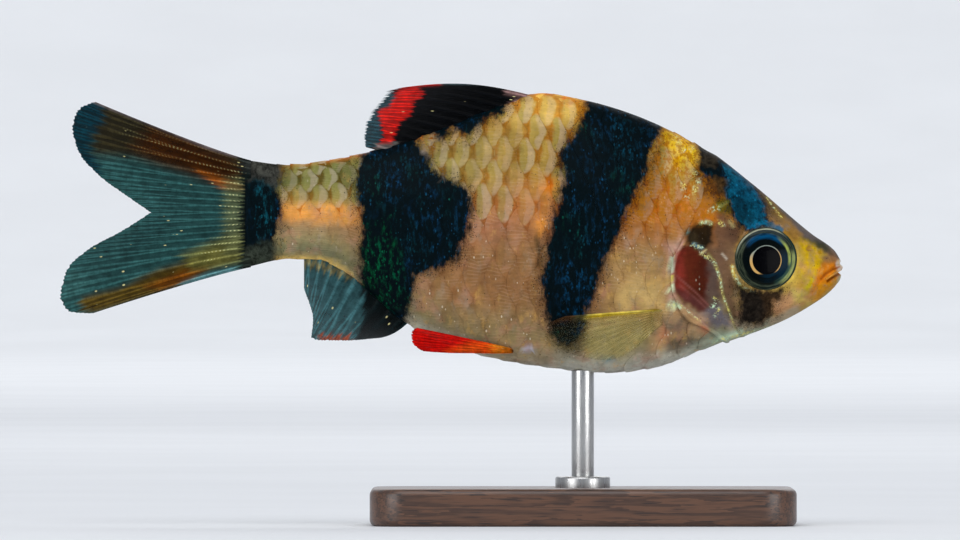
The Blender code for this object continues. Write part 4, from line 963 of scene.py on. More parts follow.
# Where they grow: from the gill opening to the tail's root, in rows counted from the middle one
SCALES_FRONT, SCALES_REAR, SCALE_ROWS = 22.2, -15.9, range(-7, 8)
LOWEST_ROW, HIGHEST_ROW, ROW_BEND, PITCH_KEPT = 0.3, 0.25, 0.8, 0.86
BEHIND_GILL = 0.1 + 0.25 * PITCH
# How much they differ from one another
TWIST, SIZE_SPREAD, LIFT_SPREAD = 0.03, 0.03, 0.012
# Their pattern, which fades towards the thin scales of the belly
PATTERN_FROM, PATTERN_FADE, PATTERN_STRENGTH, PATTERN_LEAST = 0.5, 0.2, 0.85, 0.12
# The map's own measure in millimetres, and how much of its place each scale fills
MAP_GIRTH, MAP_LENGTH = 26.0, SCALES_FRONT - SCALES_REAR + 2 * PITCH
MAP_SHARE_ALONG, MAP_SHARE_ACROSS, NO_SEAM = 0.9, 0.94, 9.0
# The way round the flank, measured at close stations, at angles that are counted by column
WRAP_FROM, WRAP_TO, WRAP_STATIONS = -18.0, 24.0, 211
WRAP_REACH, WRAP_ANGLES = 0.8 * math.pi, 321
BELLY_COLUMN, WIDEST_COLUMN, BACK_COLUMN = 60, 160, 260
middle_row = smooth_curve(MIDDLE_ROW)
wrap_x = np.linspace(WRAP_FROM, WRAP_TO, WRAP_STATIONS)
wrap_angle = np.linspace(-WRAP_REACH, WRAP_REACH, WRAP_ANGLES)
wrap_points = body_point(wrap_x[:, None], wrap_angle[None, :])
wrap_steps = np.linalg.norm(np.diff(wrap_points[..., 1:], axis=1), axis=2)
wrap_length = np.concatenate([np.zeros((len(wrap_x), 1)), np.cumsum(wrap_steps, axis=1)], axis=1)
wrap_length -= wrap_length[:, [WIDEST_COLUMN]]


def angle_at(x, girth):
    """The section's angle at a distance round the flank from the widest line, up being more."""
    place = np.clip(np.interp(x, wrap_x, range(len(wrap_x))), 0, len(wrap_x) - 1.001)
    row = place.astype(int)
    part = (place - row)[:, None]
    lengths = wrap_length[row] * (1 - part) + wrap_length[row + 1] * part
    return np.array([np.interp(g, line, wrap_angle) for g, line in zip(girth, lengths)])


def row_step(x):
    """How far apart the rows of scales are, which is less where the body is less deep."""
    return ROW_STEP * ((back(x) - belly(x)) / DEEPEST) ** SLIMMING


bpy.ops.object.select_all(action="DESELECT")
bpy.ops.mesh.primitive_grid_add(x_subdivisions=SCALE_GRID[0], y_subdivisions=SCALE_GRID[1], size=2.0)
plate = newest("scale_plate")
flat = read_points(plate)
across = flat[:, 1] * SCALE_HALF
rear_edge = SCALE_REAR - SCALE_ROUNDING * across * across
front_edge = -SCALE_LENGTH + ROOT_ROUNDING * (across / SCALE_HALF) ** 4
plate_along = front_edge + (rear_edge - front_edge) * ((flat[:, 0] + 1) / 2) ** EDGE_CROWDING
PLATE = np.stack([plate_along, across], axis=1)
bpy.ops.object.modifier_add(type="SOLIDIFY")
plate.modifiers["Solidify"].thickness = PLATE_THICK
plate.modifiers["Solidify"].offset = -1.0
bpy.ops.object.modifier_apply(modifier="Solidify")
plate_faces = [tuple(face.vertices) for face in plate.data.polygons]
bpy.data.objects.remove(plate)
chance = np.random.default_rng(11)
coat = coat_material("fish scales", True)

for side_name, side in (("left", 1), ("right", -1)):
    points, faces, spots, map_places, shows = [], [], [], [], []
    for row in SCALE_ROWS:
        x = SCALES_FRONT - (PITCH / 2 if row % 2 else 0.0)
        while True:
            x -= PITCH * (PITCH_KEPT + (1 - PITCH_KEPT) * (back(x) - belly(x)) / DEEPEST)
            if x < SCALES_REAR:
                break
            step = row_step(x)
            middle = belly(x) + WIDEST_SHARE * (back(x) - belly(x))
            girth = middle_row(x) - middle + row * step
            low = np.interp(x, wrap_x, wrap_length[:, BELLY_COLUMN])
            high = np.interp(x, wrap_x, wrap_length[:, BACK_COLUMN])
            if not low + LOWEST_ROW * step < girth < high - HIGHEST_ROW * step:
                continue
            level = height_share(angle_at(np.array([x]), np.array([girth]))[0])
            if x > gill_opening(level) - BEHIND_GILL:
                continue
            twist, size = chance.uniform(-TWIST, TWIST), chance.uniform(1 - SIZE_SPREAD, 1 + SIZE_SPREAD)
            along = PLATE[:, 0] * size + twist * PLATE[:, 1]
            at_x = x - along * PITCH
            bend = (middle_row(at_x) - middle_row(x)) * ROW_BEND
            at_girth = girth + PLATE[:, 1] * size * row_step(at_x) + bend
            angle = angle_at(at_x, at_girth)
            to_rear = (PLATE[:, 0] + SCALE_LENGTH) / (SCALE_LENGTH + SCALE_REAR)
            lift = SCALE_ROOT + (SCALE_LIFT - SCALE_ROOT) * to_rear
            lift += chance.uniform(-LIFT_SPREAD, LIFT_SPREAD)
            base, out = body_point(at_x, angle), body_normal(at_x, angle)
            top, under = base + out * lift[:, None], base + out * (lift - SCALE_THICK)[:, None]
            start = 2 * len(PLATE) * len(points)
            points.append(np.concatenate([top, under]) * (1, side, 1))
            faces += [tuple(start + i for i in face)[::side] for face in plate_faces]
            draw = chance.uniform(0.0, 1.0)
            spots += [(a, b, draw) for a, b in zip(along, PLATE[:, 1])] * 2
            fade = smooth_step((level - PATTERN_FROM) / PATTERN_FADE)
            shows += [fade * PATTERN_STRENGTH + PATTERN_LEAST] * 2 * len(PLATE)
            u, v = (x - SCALES_REAR + PITCH) / MAP_LENGTH, 0.5 + girth / MAP_GIRTH
            cell_u = MAP_SHARE_ALONG * PITCH / MAP_LENGTH / (SCALE_LENGTH + SCALE_REAR)
            cell_v = MAP_SHARE_ACROSS * step / MAP_GIRTH / (2 * SCALE_HALF)
            middle_along = (SCALE_REAR - SCALE_LENGTH) / 2
            map_places += [(u - (a - middle_along) * cell_u, v + b * cell_v) for a, b in PLATE] * 2
    mesh = bpy.data.meshes.new("scales_" + side_name)
    points = np.concatenate(points)
    mesh.from_pydata((points * MM).tolist(), [], faces)
    scales = bpy.data.objects.new("scales_" + side_name, mesh)
    bpy.context.scene.collection.objects.link(scales)
    mesh.shade_smooth()
    mesh.set_sharp_from_angle(angle=math.radians(50))
    unwrap(scales, *np.array(map_places).T, NO_SEAM)
    write_attribute(mesh, "on_scale", spots)
    write_attribute(mesh, "scale_show", shows)
    wear_markings(scales, points)
    mesh.materials.append(coat)
    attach(scales, "root")

# The eyes
# Each is a low dome set into its socket: a black pupil in a thin gold ring, a blue-black iris,
# and a streaked outer ring that catches blue light on top and yellow-green in front.
EYE_SEGMENTS, EYE_RINGS = 128, 64
EYE_BULGE, EYE_SINK, EYE_BALL, EYE_SET_IN = 0.62, 0.75, 2.52, 0.02
PUPIL_X, PUPIL_Z, PUPIL_RADIUS, RING_WIDTH = 0.05, -0.12, 1.16, 0.035


def band(tree, value, low, high, soft):
    """One within a span of values, fading out at both its ends."""
    rise = remap(tree, value, low - soft, low + soft)
    return times(tree, rise, remap(tree, value, high - soft, high + soft, 1.0, 0.0))


def toward(tree, ahead, up, radius, bearing, reach):
    """One towards a bearing from the eye's middle, in degrees, fading out at its reach."""
    turn = math.radians(bearing)
    part = maths(tree, "ADD", times(tree, ahead, math.cos(turn)), times(tree, up, math.sin(turn)))
    share = maths(tree, "DIVIDE", part, radius)
    return remap(tree, share, math.cos(math.radians(reach)), math.cos(math.radians(reach * 0.4)))


def radius_of(tree, ahead, up):
    """How far a place is from a middle."""
    return maths(tree, "SQRT", maths(tree, "ADD", times(tree, ahead, ahead), times(tree, up, up)))


iris, tree, shader = new_material("fish eye", 0.22)
ahead, up, _ = axes(tree, read_attribute(tree, "on_eye", "Vector"))
radius = radius_of(tree, ahead, up)
pupil_ahead = maths(tree, "SUBTRACT", ahead, PUPIL_X)
pupil_up = maths(tree, "SUBTRACT", up, PUPIL_Z)
pupil_radius = radius_of(tree, pupil_ahead, pupil_up)
streak_place = vector_of(tree, times(tree, radius, 5.0), maths(tree, "ARCTAN2", up, ahead))
streaks = noise(tree, streak_place, 1.6, 4.0, 0.65)
colour = mix(tree, toward(tree, ahead, up, radius, -40, 80), tone(3, 9, 10), tone(4, 30, 44))
ring_tone = mix(tree, remap(tree, streaks, 0.38, 0.66), tone(12, 22, 18), tone(72, 80, 62))
# The bands of the iris: inner and outer radius, blur, tone (None takes the outer ring's own), the
# bearing that it faces and its reach to either side in degrees, and strength
EYE_BANDS = (
    (1.92, 2.6, 0.12, None, None, None, 0.85),
    (1.5, 2.1, 0.06, (2, 6, 5), -98, 56, 0.95),
    (1.9, 2.2, 0.1, (58, 94, 82), -32, 44, 0.6),
    # A painted glint: a yellow-green arc in front
    (1.8, 2.0, 0.07, (184, 196, 96), 24, 44, 0.8),
    (2.1, 2.36, 0.07, (162, 172, 104), -22, 44, 0.85),
    (2.38, 2.7, 0.05, (14, 56, 56), 0, 76, 0.8),
    (1.62, 2.02, 0.12, (4, 66, 104), 92, 62, 0.95),
    (2.14, 2.36, 0.06, (40, 52, 62), 88, 60, 0.7),
    # A painted highlight: a pale line on the upper rim
    (2.32, 2.42, 0.05, (190, 192, 164), 108, 70, 0.75),
)
for low, high, soft, shown, facing, reach, strength in EYE_BANDS:
    share = times(tree, band(tree, radius, low, high, soft), strength)
    if shown:
        facing_part = toward(tree, ahead, up, radius, facing, reach)
        share = times(tree, share, facing_part, remap(tree, streaks, 0.3, 0.6, 0.3, 1.0))
    colour = mix(tree, share, colour, tone(*shown) if shown else ring_tone)
gold = mix(tree, toward(tree, ahead, up, radius, 100, 100), tone(196, 156, 92), tone(132, 142, 132))
left = toward(tree, pupil_ahead, pupil_up, pupil_radius, 195, 60)
outer = maths(tree, "ADD", times(tree, left, 0.15), PUPIL_RADIUS + RING_WIDTH)
ring = remap(tree, maths(tree, "SUBTRACT", pupil_radius, outer), -0.02, 0.03, 1.0, 0.0)
below = toward(tree, pupil_ahead, pupil_up, pupil_radius, -82, 44)
ring = times(tree, ring, maths(tree, "SUBTRACT", 1.0, below))
colour = mix(tree, ring, colour, gold)
pupil = remap(tree, pupil_radius, PUPIL_RADIUS - 0.05, PUPIL_RADIUS, 1.0, 0.0)
colour = mix(tree, pupil, colour, tone(2, 2, 4))
folds = noise(tree, streak_place, 2.0, 3.0)
finish(
    tree, shader, colour, folds, 0.08, 0.05 * MM,
    Specular_IOR_Level=0.02, Coat_Weight=0.02, Coat_Roughness=0.03,
)

for side_name, side in (("left", 1), ("right", -1)):
    bpy.ops.object.select_all(action="DESELECT")
    bpy.ops.mesh.primitive_uv_sphere_add(segments=EYE_SEGMENTS, ring_count=EYE_RINGS, radius=1.0)
    eye = newest("eyeball_" + side_name)
    if side > 0:
        bpy.ops.object.mode_set(mode="EDIT")
        bpy.ops.mesh.select_all(action="SELECT")
        bpy.ops.mesh.flip_normals()
        bpy.ops.object.mode_set(mode="OBJECT")
    ball = read_points(eye)
    on_eye = ball * (EYE_BALL, EYE_BALL, 1.0)
    x, z = EYE_X + on_eye[:, 0], EYE_Z + on_eye[:, 1]
    out = ball[:, 2] * np.where(ball[:, 2] > 0, EYE_BULGE, EYE_SINK) - EYE_SET_IN
    y = side * (eye_plane(x, z) + out)
    place_points(eye, np.stack([x, y, z], axis=1))
    eye.data.shade_smooth()
    write_attribute(eye.data, "on_eye", on_eye)
    eye.data.materials.append(iris)
    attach(eye, "root")
    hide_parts("eye_" + side_name)

# The fins
# Each is a fan of bony rays with a thin skin between them. The rays split in two and again in
# two towards the edge, and the skin falls back a little between their tips.
RAY_COLUMNS = 16
RAY_FIRST_SPLIT, RAY_SECOND_SPLIT = 0.22, 0.1
RAY_WIDTH, RAY_TIP_WIDTH = 0.17, 0.07
# Where the branches part, as shares of the ray, and over how long a stretch
FIRST_SPLIT_AT, FIRST_SPLIT_RUN, SECOND_SPLIT_AT, SECOND_SPLIT_RUN = 0.3, 0.5, 0.62, 0.34
FIN_SKIN, RAY_RISE, FIN_BASE = 0.22, 0.2, 0.5
# How much flatter the rays and thinner the whole fin get towards the edge
RAY_FLATTENING, TIP_THINNING = 0.55, 0.4
# Chains of pale beads along the rays of the tail fin: the path, how far they spread, how strong
BEAD_PATHS = (
    (((-17.3, 28.2), (-17.6, 26.0), (-17.5, 23.0), (-19.4, 21.6)), 0.55, 1.0),
    (((-25.5, 31.2), (-21.0, 29.6), (-17.6, 28.2)), 0.8, 0.25),
)


def chain(points):
    """A smooth path through points, by share of its length."""
    points = np.array(points, float)
    length = np.concatenate([[0.0], np.cumsum(np.linalg.norm(np.diff(points, axis=0), axis=1))])
    length /= length[-1]
    curves = [smooth_curve(list(zip(length, column))) for column in points.T]
    return lambda share: np.stack([curve(share) for curve in curves], axis=-1)


def ray_ridge(ray, t):
    """How far a place stands up on a ray or on one of its branches, from 0 to 1."""
    side = ray - np.floor(ray) - 0.5
    first = RAY_FIRST_SPLIT * smooth_step((t - FIRST_SPLIT_AT) / FIRST_SPLIT_RUN)
    second = RAY_SECOND_SPLIT * smooth_step((t - SECOND_SPLIT_AT) / SECOND_SPLIT_RUN)
    width = RAY_WIDTH + (RAY_TIP_WIDTH - RAY_WIDTH) * smooth_step((t - 0.1) / 0.7)
    branches = [bump(side - a * first - b * second, width) for a in (-1, 1) for b in (-1, 1)]
    return np.max(branches, axis=0)


def upright(x, z):
    """Places a fin in the fish's middle plane."""
    return np.stack([x, np.zeros_like(x), z], axis=1)


def add_fin(
    name, root, margin, rays, rows, place, dyes, clear, bow=0.0, lag=1.0, base_thick=FIN_BASE, streaky=0.6,
    stout=0.01, ray_tone=None, ray_body=0.3, notch=0.016, ribbed=1.0,
):
    """Makes a fin as one sheet, with its rays as ridges, between the lines of its root and margin.

    dyes: its plain tone, patches and lines; clear: how much light it lets through, root to edge;
    bow and lag: how the rays bend; streaky: how far the dye runs along them; stout: the share taken
    by a thick first ray; ray_tone and ray_body: the rays' own tone and how dense they are; notch:
    how far the edge falls back between them; ribbed: how much lighter they look than the skin.
    """
    bpy.ops.object.select_all(action="DESELECT")
    bpy.ops.mesh.primitive_grid_add(x_subdivisions=rays * RAY_COLUMNS, y_subdivisions=rows, size=2.0)
    made = newest(name)
    flat = read_points(made)
    share, t = (flat[:, 0] + 1) / 2, (flat[:, 1] + 1) / 2
    ray = share * rays
    ragged = chance.uniform(0.0, 0.75 * notch, rays + 1)[np.minimum(ray.astype(int), rays)]
    tip_ridge = ray_ridge(ray, np.ones_like(t))
    run = t * (1 - (notch * (1 - tip_ridge) + ragged) * t**4)
    start, end = root(share), margin(share)
    x = start[:, 0] + (end[:, 0] - start[:, 0]) * run
    z = start[:, 1] + (end[:, 1] - start[:, 1]) * run**lag + bow * np.sin(math.pi * run) * (1 - share)
    place_points(made, place(x, z))
    ridge = ray_ridge(ray, t)
    length = np.linalg.norm(end - start, axis=1, keepdims=True)
    reach = run * length[:, 0]
    drawn = 0.35 * np.sin(ray * 9.7) + 0.25 * np.sin(ray * 23.1 + 1.3)
    along = (end - start) / np.maximum(length, 1e-6)
    dye_x, dye_z = x + streaky * drawn * along[:, 0], z + streaky * drawn * along[:, 1]
    plain, patches, lines = dyes
    dye = np.tile(tone(*plain), (len(x), 1))
    lay_patches(dye, dye_x, dye_z, patches)
    lay_lines(dye, dye_x, dye_z, lines)
    if ray_tone:
        dye += (tone(*ray_tone) - dye) * (0.9 * ridge**4 * (1 - bump(share, 0.2)))[:, None]
    beads = [weight * bump(to_line(x, z, path), spread) for path, spread, weight in BEAD_PATHS]
    beads = np.max(beads, axis=0)
    write_attribute(made.data, "glints_and_beads", beads)
    write_attribute(made.data, "dye", dye)
    write_attribute(made.data, "on_fin", np.stack([ray, reach, 0.33 + (ridge - 0.33) * ribbed], axis=1))
    see = (clear[0] + (clear[1] - clear[0]) * t) * (1 - ray_body * ridge**5) * (1 - bump(share, stout))
    write_attribute(made.data, "opacity", np.clip(1 - see, 0.0, 1.0))
    ends = bump(share, 0.04) + bump(1 - share, 0.04)
    thick = FIN_SKIN + RAY_RISE * ridge * (1 - RAY_FLATTENING * t) + base_thick * (1 - ends) * (1 - t) ** 3
    thick *= 1 - TIP_THINNING * t**6
    group = made.vertex_groups.new(name="thick")
    for number, value in enumerate(thick):
        group.add([number], value, "REPLACE")
    solid = made.modifiers.new("Solid", "SOLIDIFY")
    solid.thickness, solid.offset = MM, 0.0
    solid.vertex_group = "thick"
    bpy.ops.object.modifier_apply(modifier="Solid")
    made.data.shade_smooth()
    made.data.materials.append(fin_skin)
    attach(made, "root")
    return made


# The fin skin: dyed in streaks along the rays, with dark joints across them, loose painted glints,
# and rows of pale specks where the bead paths run
RAY_JOINT_STEP, SPECK_STEP = 0.45, 0.3
fin_skin, tree, shader = new_material("fin skin", 0.42)
ray, reach, ridge = axes(tree, read_attribute(tree, "on_fin", "Vector"))
streaks = noise(tree, vector_of(tree, times(tree, ray, 4.0), times(tree, reach, 0.4)), 1.0, 4.0, 0.6)
blotches = clouds(tree, (1.2, 1.0, 1.8), 1.2, 5.0, 0.7)
colour = shaded(tree, read_attribute(tree, "dye"), grey(tree, streaks, 0.76, 1.14))
colour = shaded(tree, colour, grey(tree, blotches, 0.66, 1.3))
shades = remap(tree, ridge, 0.0, 1.0, 0.7, 1.6)
colour = shaded(tree, colour, vector_of(tree, shades, shades, shades))
joints = maths(tree, "SINE", times(tree, reach, 2 * math.pi / RAY_JOINT_STEP))
joints = times(tree, remap(tree, joints, 0.72, 0.98), times(tree, ridge, 0.3))
colour = mix(tree, joints, colour, shaded(tree, colour, (0.35, 0.35, 0.35)))
distance, draw = cells(tree, vector_of(tree, times(tree, ray, 2.0), times(tree, reach, 1.1)))
# Painted glints: loose pale dots scattered over the fins
painted_fin_glint = times(tree, remap(tree, distance, 0.06, 0.16, 0.8, 0.0), remap(tree, draw[0], 0.78, 0.82))
colour = mix(tree, painted_fin_glint, colour, tone(224, 214, 150))
offset = maths(tree, "MULTIPLY_ADD", maths(tree, "FLOOR", ray), 2.4, times(tree, streaks, 16.0))
specks = maths(tree, "SINE", maths(tree, "MULTIPLY_ADD", reach, 2 * math.pi / SPECK_STEP, offset))
specks = times(tree, remap(tree, specks, 0.2, 0.8), remap(tree, ridge, 0.55, 0.9))
specks = times(tree, specks, remap(tree, streaks, 0.4, 0.6, 0.3, 1.0), read_attribute(tree, "glints_and_beads", "Fac"))
colour = mix(tree, specks, colour, tone(226, 224, 160))
tree.links.new(read_attribute(tree, "opacity", "Fac"), shader.inputs["Alpha"])
finish(
    tree, shader, colour, streaks, 0.2, 0.05 * MM,
    Specular_IOR_Level=0.025, Coat_Weight=0.01, Coat_Roughness=0.25,
)

# The tail fin
# Nineteen rays in two lobes with a deep fork, teal-grey, with a rust band inside the upper
# edge and a brown-orange one along the lower edge.
SUNK = 0.45
TAIL_RAYS, TAIL_ROWS, TAIL_CLEAR = 19, 64, (0.0, 0.07)
TAIL_LAG, TAIL_BASE, TAIL_NOTCH = 1.12, 0.9, 0.009
TAIL_FORK = (-24.1, 25.0)
TAIL_UPPER_MARGIN = ((-28.6, 33.9), (-30.0, 33.2), (-30.4, 31.9), (-30.1, 30.3), (-28.2, 27.9), (-26.3, 26.5))
TAIL_LOWER_MARGIN = ((-28.8, 16.9), (-30.6, 17), (-31.34, 18.1), (-31, 20.1), (-29.2, 22), (-26.5, 23.5))
TAIL_TONE = (36, 73, 72)
TAIL_PATCHES = (
    ([(-29.4, 34.4), (-28.4, 34.2), (-19.6, 30.7), (-16.2, 29.6), (-16.2, 27.2), (-19.0, 27.6),
     (-22.6, 28.6), (-25.6, 29.4), (-28.8, 29.6), (-29.0, 32.0)], 0.7, (38, 30, 10), 0.95),
    ([(-24.0, 31.9), (-20.9, 30.8), (-17.9, 29.3), (-16.9, 28.0), (-17.1, 27.0), (-18.1, 27.2),
     (-19.7, 27.6), (-21.5, 28.4), (-23.5, 29.1), (-25.5, 30.2)], 0.9, (56, 25, 0), 0.9),
    ([(-20.4, 28.4), (-16.6, 27.2), (-16.6, 26.7), (-18.4, 26.9)], 0.3, (170, 88, 10), 0.6),
    ([(-28.9, 34.4), (-27.9, 33.9), (-27.8, 32.4), (-28.7, 31.1), (-28.9, 29.9), (-28.2, 28.7),
     (-28.0, 27.6), (-31.0, 29.0), (-31.0, 33.0)], 0.35, (2, 38, 48), 0.95),
    ([(-29.6, 18.2), (-26.4, 19.0), (-23.5, 20.4), (-21.5, 21.0), (-19.6, 22.0), (-16.6, 23.0),
     (-16.5, 21.4), (-19.1, 20.6), (-20.8, 19.6), (-23.5, 18.5), (-26.4, 17.6), (-28.4, 17.0),
     (-29.6, 17.1)], 0.4, (76, 58, 8), 0.95),
    ([(-24.6, 19.0), (-21.4, 20.4), (-19.6, 20.6), (-20.8, 19.7), (-23.0, 18.9)], 0.4, (112, 58, 4), 0.8),
    ([(-21.6, 21.6), (-16.4, 23.8), (-16.4, 21.0), (-18.6, 20.7), (-20.8, 20.4)], 0.5, (108, 108, 54),
     0.75),
    ([(-31.6, 20.4), (-29.6, 21.6), (-27.0, 23.2), (-25.0, 24.2), (-26.0, 21.4), (-30.0, 18.4),
     (-31.8, 17.6)], 0.6, (46, 84, 82), 0.8),
    ([(-30.6, 21.2), (-28.4, 22.6), (-25.0, 24.2), (-23.0, 23.8), (-26.4, 20.6), (-29.0, 19.4)], 0.8,
     (28, 60, 60), 0.7),
    ([(-18.2, 27.6), (-15.8, 28.0), (-15.8, 21.6), (-18.2, 21.6)], 0.5, (96, 102, 66), 0.7),
    ([(-16.8, 30.4), (-16.9, 28.2), (-16.7, 26.6), (-17.0, 25.0), (-16.8, 22.6), (-17.0, 19.6),
     (-15.0, 19.6), (-15.0, 30.4)], 0.22, (6, 18, 20), 0.96),
    ([(-16.6, 30.9), (-16.6, 28.4), (-15.0, 28.0), (-15.0, 30.9)], 0.5, (50, 52, 48), 0.8),
    ([(-16.7, 21.8), (-15.0, 22.2), (-15.0, 19.0), (-16.7, 19.0)], 0.5, (42, 48, 40), 0.8),
)
TAIL_LINES = (
    (((-28.6, 33.95), (-21.5, 31.1), (-19.6, 30.3), (-17.4, 29.6)), 0.16, (132, 118, 116), 0.9),
    (((-21.4, 19.2), (-19.8, 19.8), (-17.4, 20.4)), 0.25, (96, 140, 144), 0.9),
)


def tail_root(share):
    """Where the rays of the tail start, from the highest, 0, to the lowest, 1."""
    x = np.full_like(share, TAIL_END_X + SUNK)
    top, middle, bottom = back(TAIL_END_X) - 0.12, TAIL_FORK[1], belly(TAIL_END_X) + 0.12
    z = np.where(share < 0.5, top + (middle - top) * share * 2, middle + (bottom - middle) * (share * 2 - 1))
    return np.stack([x, z], axis=1)


def tail_margin(share):
    """Where they end: along the upper lobe to the fork, and from there along the lower one."""
    upper, lower = chain((*TAIL_UPPER_MARGIN, TAIL_FORK)), chain((*TAIL_LOWER_MARGIN, TAIL_FORK))
    return np.where((share < 0.5)[:, None], upper(share * 2), lower(2 - share * 2))


tail = add_fin(
    "fin_tail", tail_root, tail_margin, TAIL_RAYS, TAIL_ROWS, upright,
    (TAIL_TONE, TAIL_PATCHES, TAIL_LINES), TAIL_CLEAR, lag=TAIL_LAG, base_thick=TAIL_BASE, notch=TAIL_NOTCH,
)
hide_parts("tail_fin_upper", "tail_fin_lower")

# The dorsal fin
# It lies folded back: black at its foot, with a blood-red band, a teal fringe behind, and a
# clear pinkish strip at its front.
DORSAL_ROOT_X, DORSAL_RAYS, DORSAL_ROWS, DORSAL_CLEAR = (7.1, -5.3), 11, 56, (0.0, 0.15)
DORSAL_BOW, DORSAL_STREAKY, DORSAL_NOTCH = 0.7, 0.3, 0.05
DORSAL_MARGIN = ((-4.4, 34.95), (-5.35, 34.65), (-6.3, 33.5), (-6.9, 32.4), (-7.05, 31.2), (-6.95, 30.25))
DORSAL_TONE = (3, 4, 6)
DORSAL_PATCHES = (
    ([(8.0, 34.0), (8.0, 35.4), (4.4, 35.3), (4.3, 34.5), (5.56, 34.2), (4.3, 33.5)], 0.25, (150, 116, 112),
     0.8),
    ([(-4.3, 34.75), (-2.8, 35.1), (-2.2, 34.6), (-2.4, 34.2), (-3.0, 33.95), (-3.1, 33.4), (-3.35, 32.7),
     (-3.9, 32.45), (-4.25, 32.0), (-4.6, 31.05), (-4.8, 30.4), (-6.1, 30.2), (-5.4, 31.05), (-5.65, 32.1),
     (-5.9, 32.7), (-5.8, 33.25), (-5.0, 33.6), (-4.95, 34.0), (-4.6, 34.3)], 0.16, (186, 20, 12), 1.0),
    ([(-4.9, 34.9), (-4.5, 34.2), (-5.0, 33.5), (-5.9, 33.2), (-5.7, 32.1), (-5.5, 31.1), (-6.1, 30.2),
     (-7.4, 30.0), (-7.4, 33.0)], 0.16, (34, 62, 70), 1.0),
    ([(-6.1, 30.5), (-4.3, 30.6), (-4.2, 29.4), (-6.1, 29.4)], 0.2, (100, 96, 92), 0.9),
)
DORSAL_LINES = (
    (((-4.2, 35.0), (-2.2, 35.2), (-0.9, 35.3)), 0.14, (176, 22, 14), 0.95),
    (((-0.9, 35.35), (1.5, 35.35), (3.7, 35.3)), 0.12, (84, 104, 108), 0.8),
)


def on_back(share):
    """The fin's foot along the back, from front to rear, a little way inside it."""
    x = DORSAL_ROOT_X[0] + (DORSAL_ROOT_X[1] - DORSAL_ROOT_X[0]) * share
    return np.stack([x, back(x) - SUNK], axis=1)


dorsal = add_fin(
    "fin_dorsal", on_back, chain(DORSAL_MARGIN), DORSAL_RAYS, DORSAL_ROWS, upright,
    (DORSAL_TONE, DORSAL_PATCHES, DORSAL_LINES), DORSAL_CLEAR,
    bow=DORSAL_BOW, streaky=DORSAL_STREAKY, notch=DORSAL_NOTCH,
)
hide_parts("dorsal_fin")

# The anal fin
# Under the rear of the body: its front is black where the broad bar runs on into it, the rest
# is a clear teal grey with a ragged rear edge.
ANAL_ROOT_X, ANAL_RAYS, ANAL_ROWS, ANAL_CLEAR, ANAL_BOW = (-3.3, -11.8), 9, 40, (0.0, 0.2), -0.25
ANAL_MARGIN = ((-5.7, 14.96), (-8.6, 14.72), (-10.5, 14.72), (-11.25, 14.95), (-11.1, 16.4), (-11.8, 18.9))
ANAL_TONE = (48, 84, 88)
ANAL_PATCHES = (
    ([(-2.6, 17.4), (-4.4, 15.3), (-5.4, 14.8), (-8.0, 14.5), (-7.4, 15.7), (-7.0, 17.0), (-7.2, 19.6),
     (-4.0, 18.0)], 0.3, (4, 9, 10), 0.97),
    ([(-13.0, 21.8), (-7.8, 20.2), (-7.8, 19.6), (-10.6, 20.5), (-13.0, 21.0)], 0.25, (140, 120, 60), 0.6),
    ([(-10.7, 15.2), (-8.1, 15.15), (-8.1, 14.5), (-10.7, 14.5)], 0.12, (128, 48, 6), 0.9),
)


def under_belly(share):
    """The fin's foot along the belly, from front to rear, a little way inside it."""
    x = ANAL_ROOT_X[0] + (ANAL_ROOT_X[1] - ANAL_ROOT_X[0]) * share
    return np.stack([x, belly(x) + SUNK], axis=1)


anal = add_fin(
    "fin_anal", under_belly, chain(ANAL_MARGIN), ANAL_RAYS, ANAL_ROWS, upright,
    (ANAL_TONE, ANAL_PATCHES, ()), ANAL_CLEAR, bow=ANAL_BOW,
)
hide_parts("anal_fin")

# The paired fins
# The chest fins lie fanned back along the flanks, clear yellow with a stout golden first ray;
# the belly fins are folded under the body, bright red with an orange root.
PAIRED_TURN, PAIRED_STEP, STEEPEST_LEAN, GAP = 0.9, 0.45, 0.4, 0.3
PAIRED_ROWS, PAIRED_BASE = 36, 0.35
CHEST_ROOT, CHEST_RAYS, CHEST_FLARE = ((16.2, 17.3), (16.2, 16.1)), 12, 0.2
CHEST_MARGIN = ((9.0, 16.7), (7.5, 15.9), (8.0, 14.7), (9.9, 13.6), (12.3, 13.2), (14.3, 13.9), (15.4, 15))
CHEST_TONE = (206, 192, 112)
CHEST_PATCHES = (
    ([(10.8, 18.0), (10.5, 12.6), (6.8, 12.6), (6.8, 18.0)], 0.3, (44, 42, 26), 0.95),
    ([(7.2, 17.0), (9.6, 17.2), (9.8, 16.2), (7.2, 15.6)], 0.3, (64, 34, 16), 0.8),
)
CHEST_LINES = (
    (((16.4, 17.25), (12.0, 17.2), (11.0, 17.1)), 0.07, (116, 88, 0), 0.9),
    (((16.0, 16.95), (12.4, 16.8), (11.0, 16.65)), 0.26, (196, 166, 0), 0.95),
)
BELLY_ROOT, BELLY_RAYS, BELLY_FLARE = ((4.2, 14.2), (4.2, 13.8)), 8, 0.1
BELLY_MARGIN = ((-2.9, 15.8), (-3.25, 15.3), (-3.2, 14.8), (-2.9, 14.3), (-2.3, 13.95), (-0.2, 13.8))
BELLY_TONE = (206, 14, 8)
BELLY_PATCHES = (
    ([(5.0, 14.9), (5.0, 13.3), (1.4, 13.2), (-0.4, 13.9), (1.6, 14.7)], 0.5, (232, 90, 20), 0.85),
    ([(5.0, 14.9), (5.0, 13.5), (3.2, 13.6), (3.2, 14.7)], 0.4, (240, 160, 40), 0.7),
)


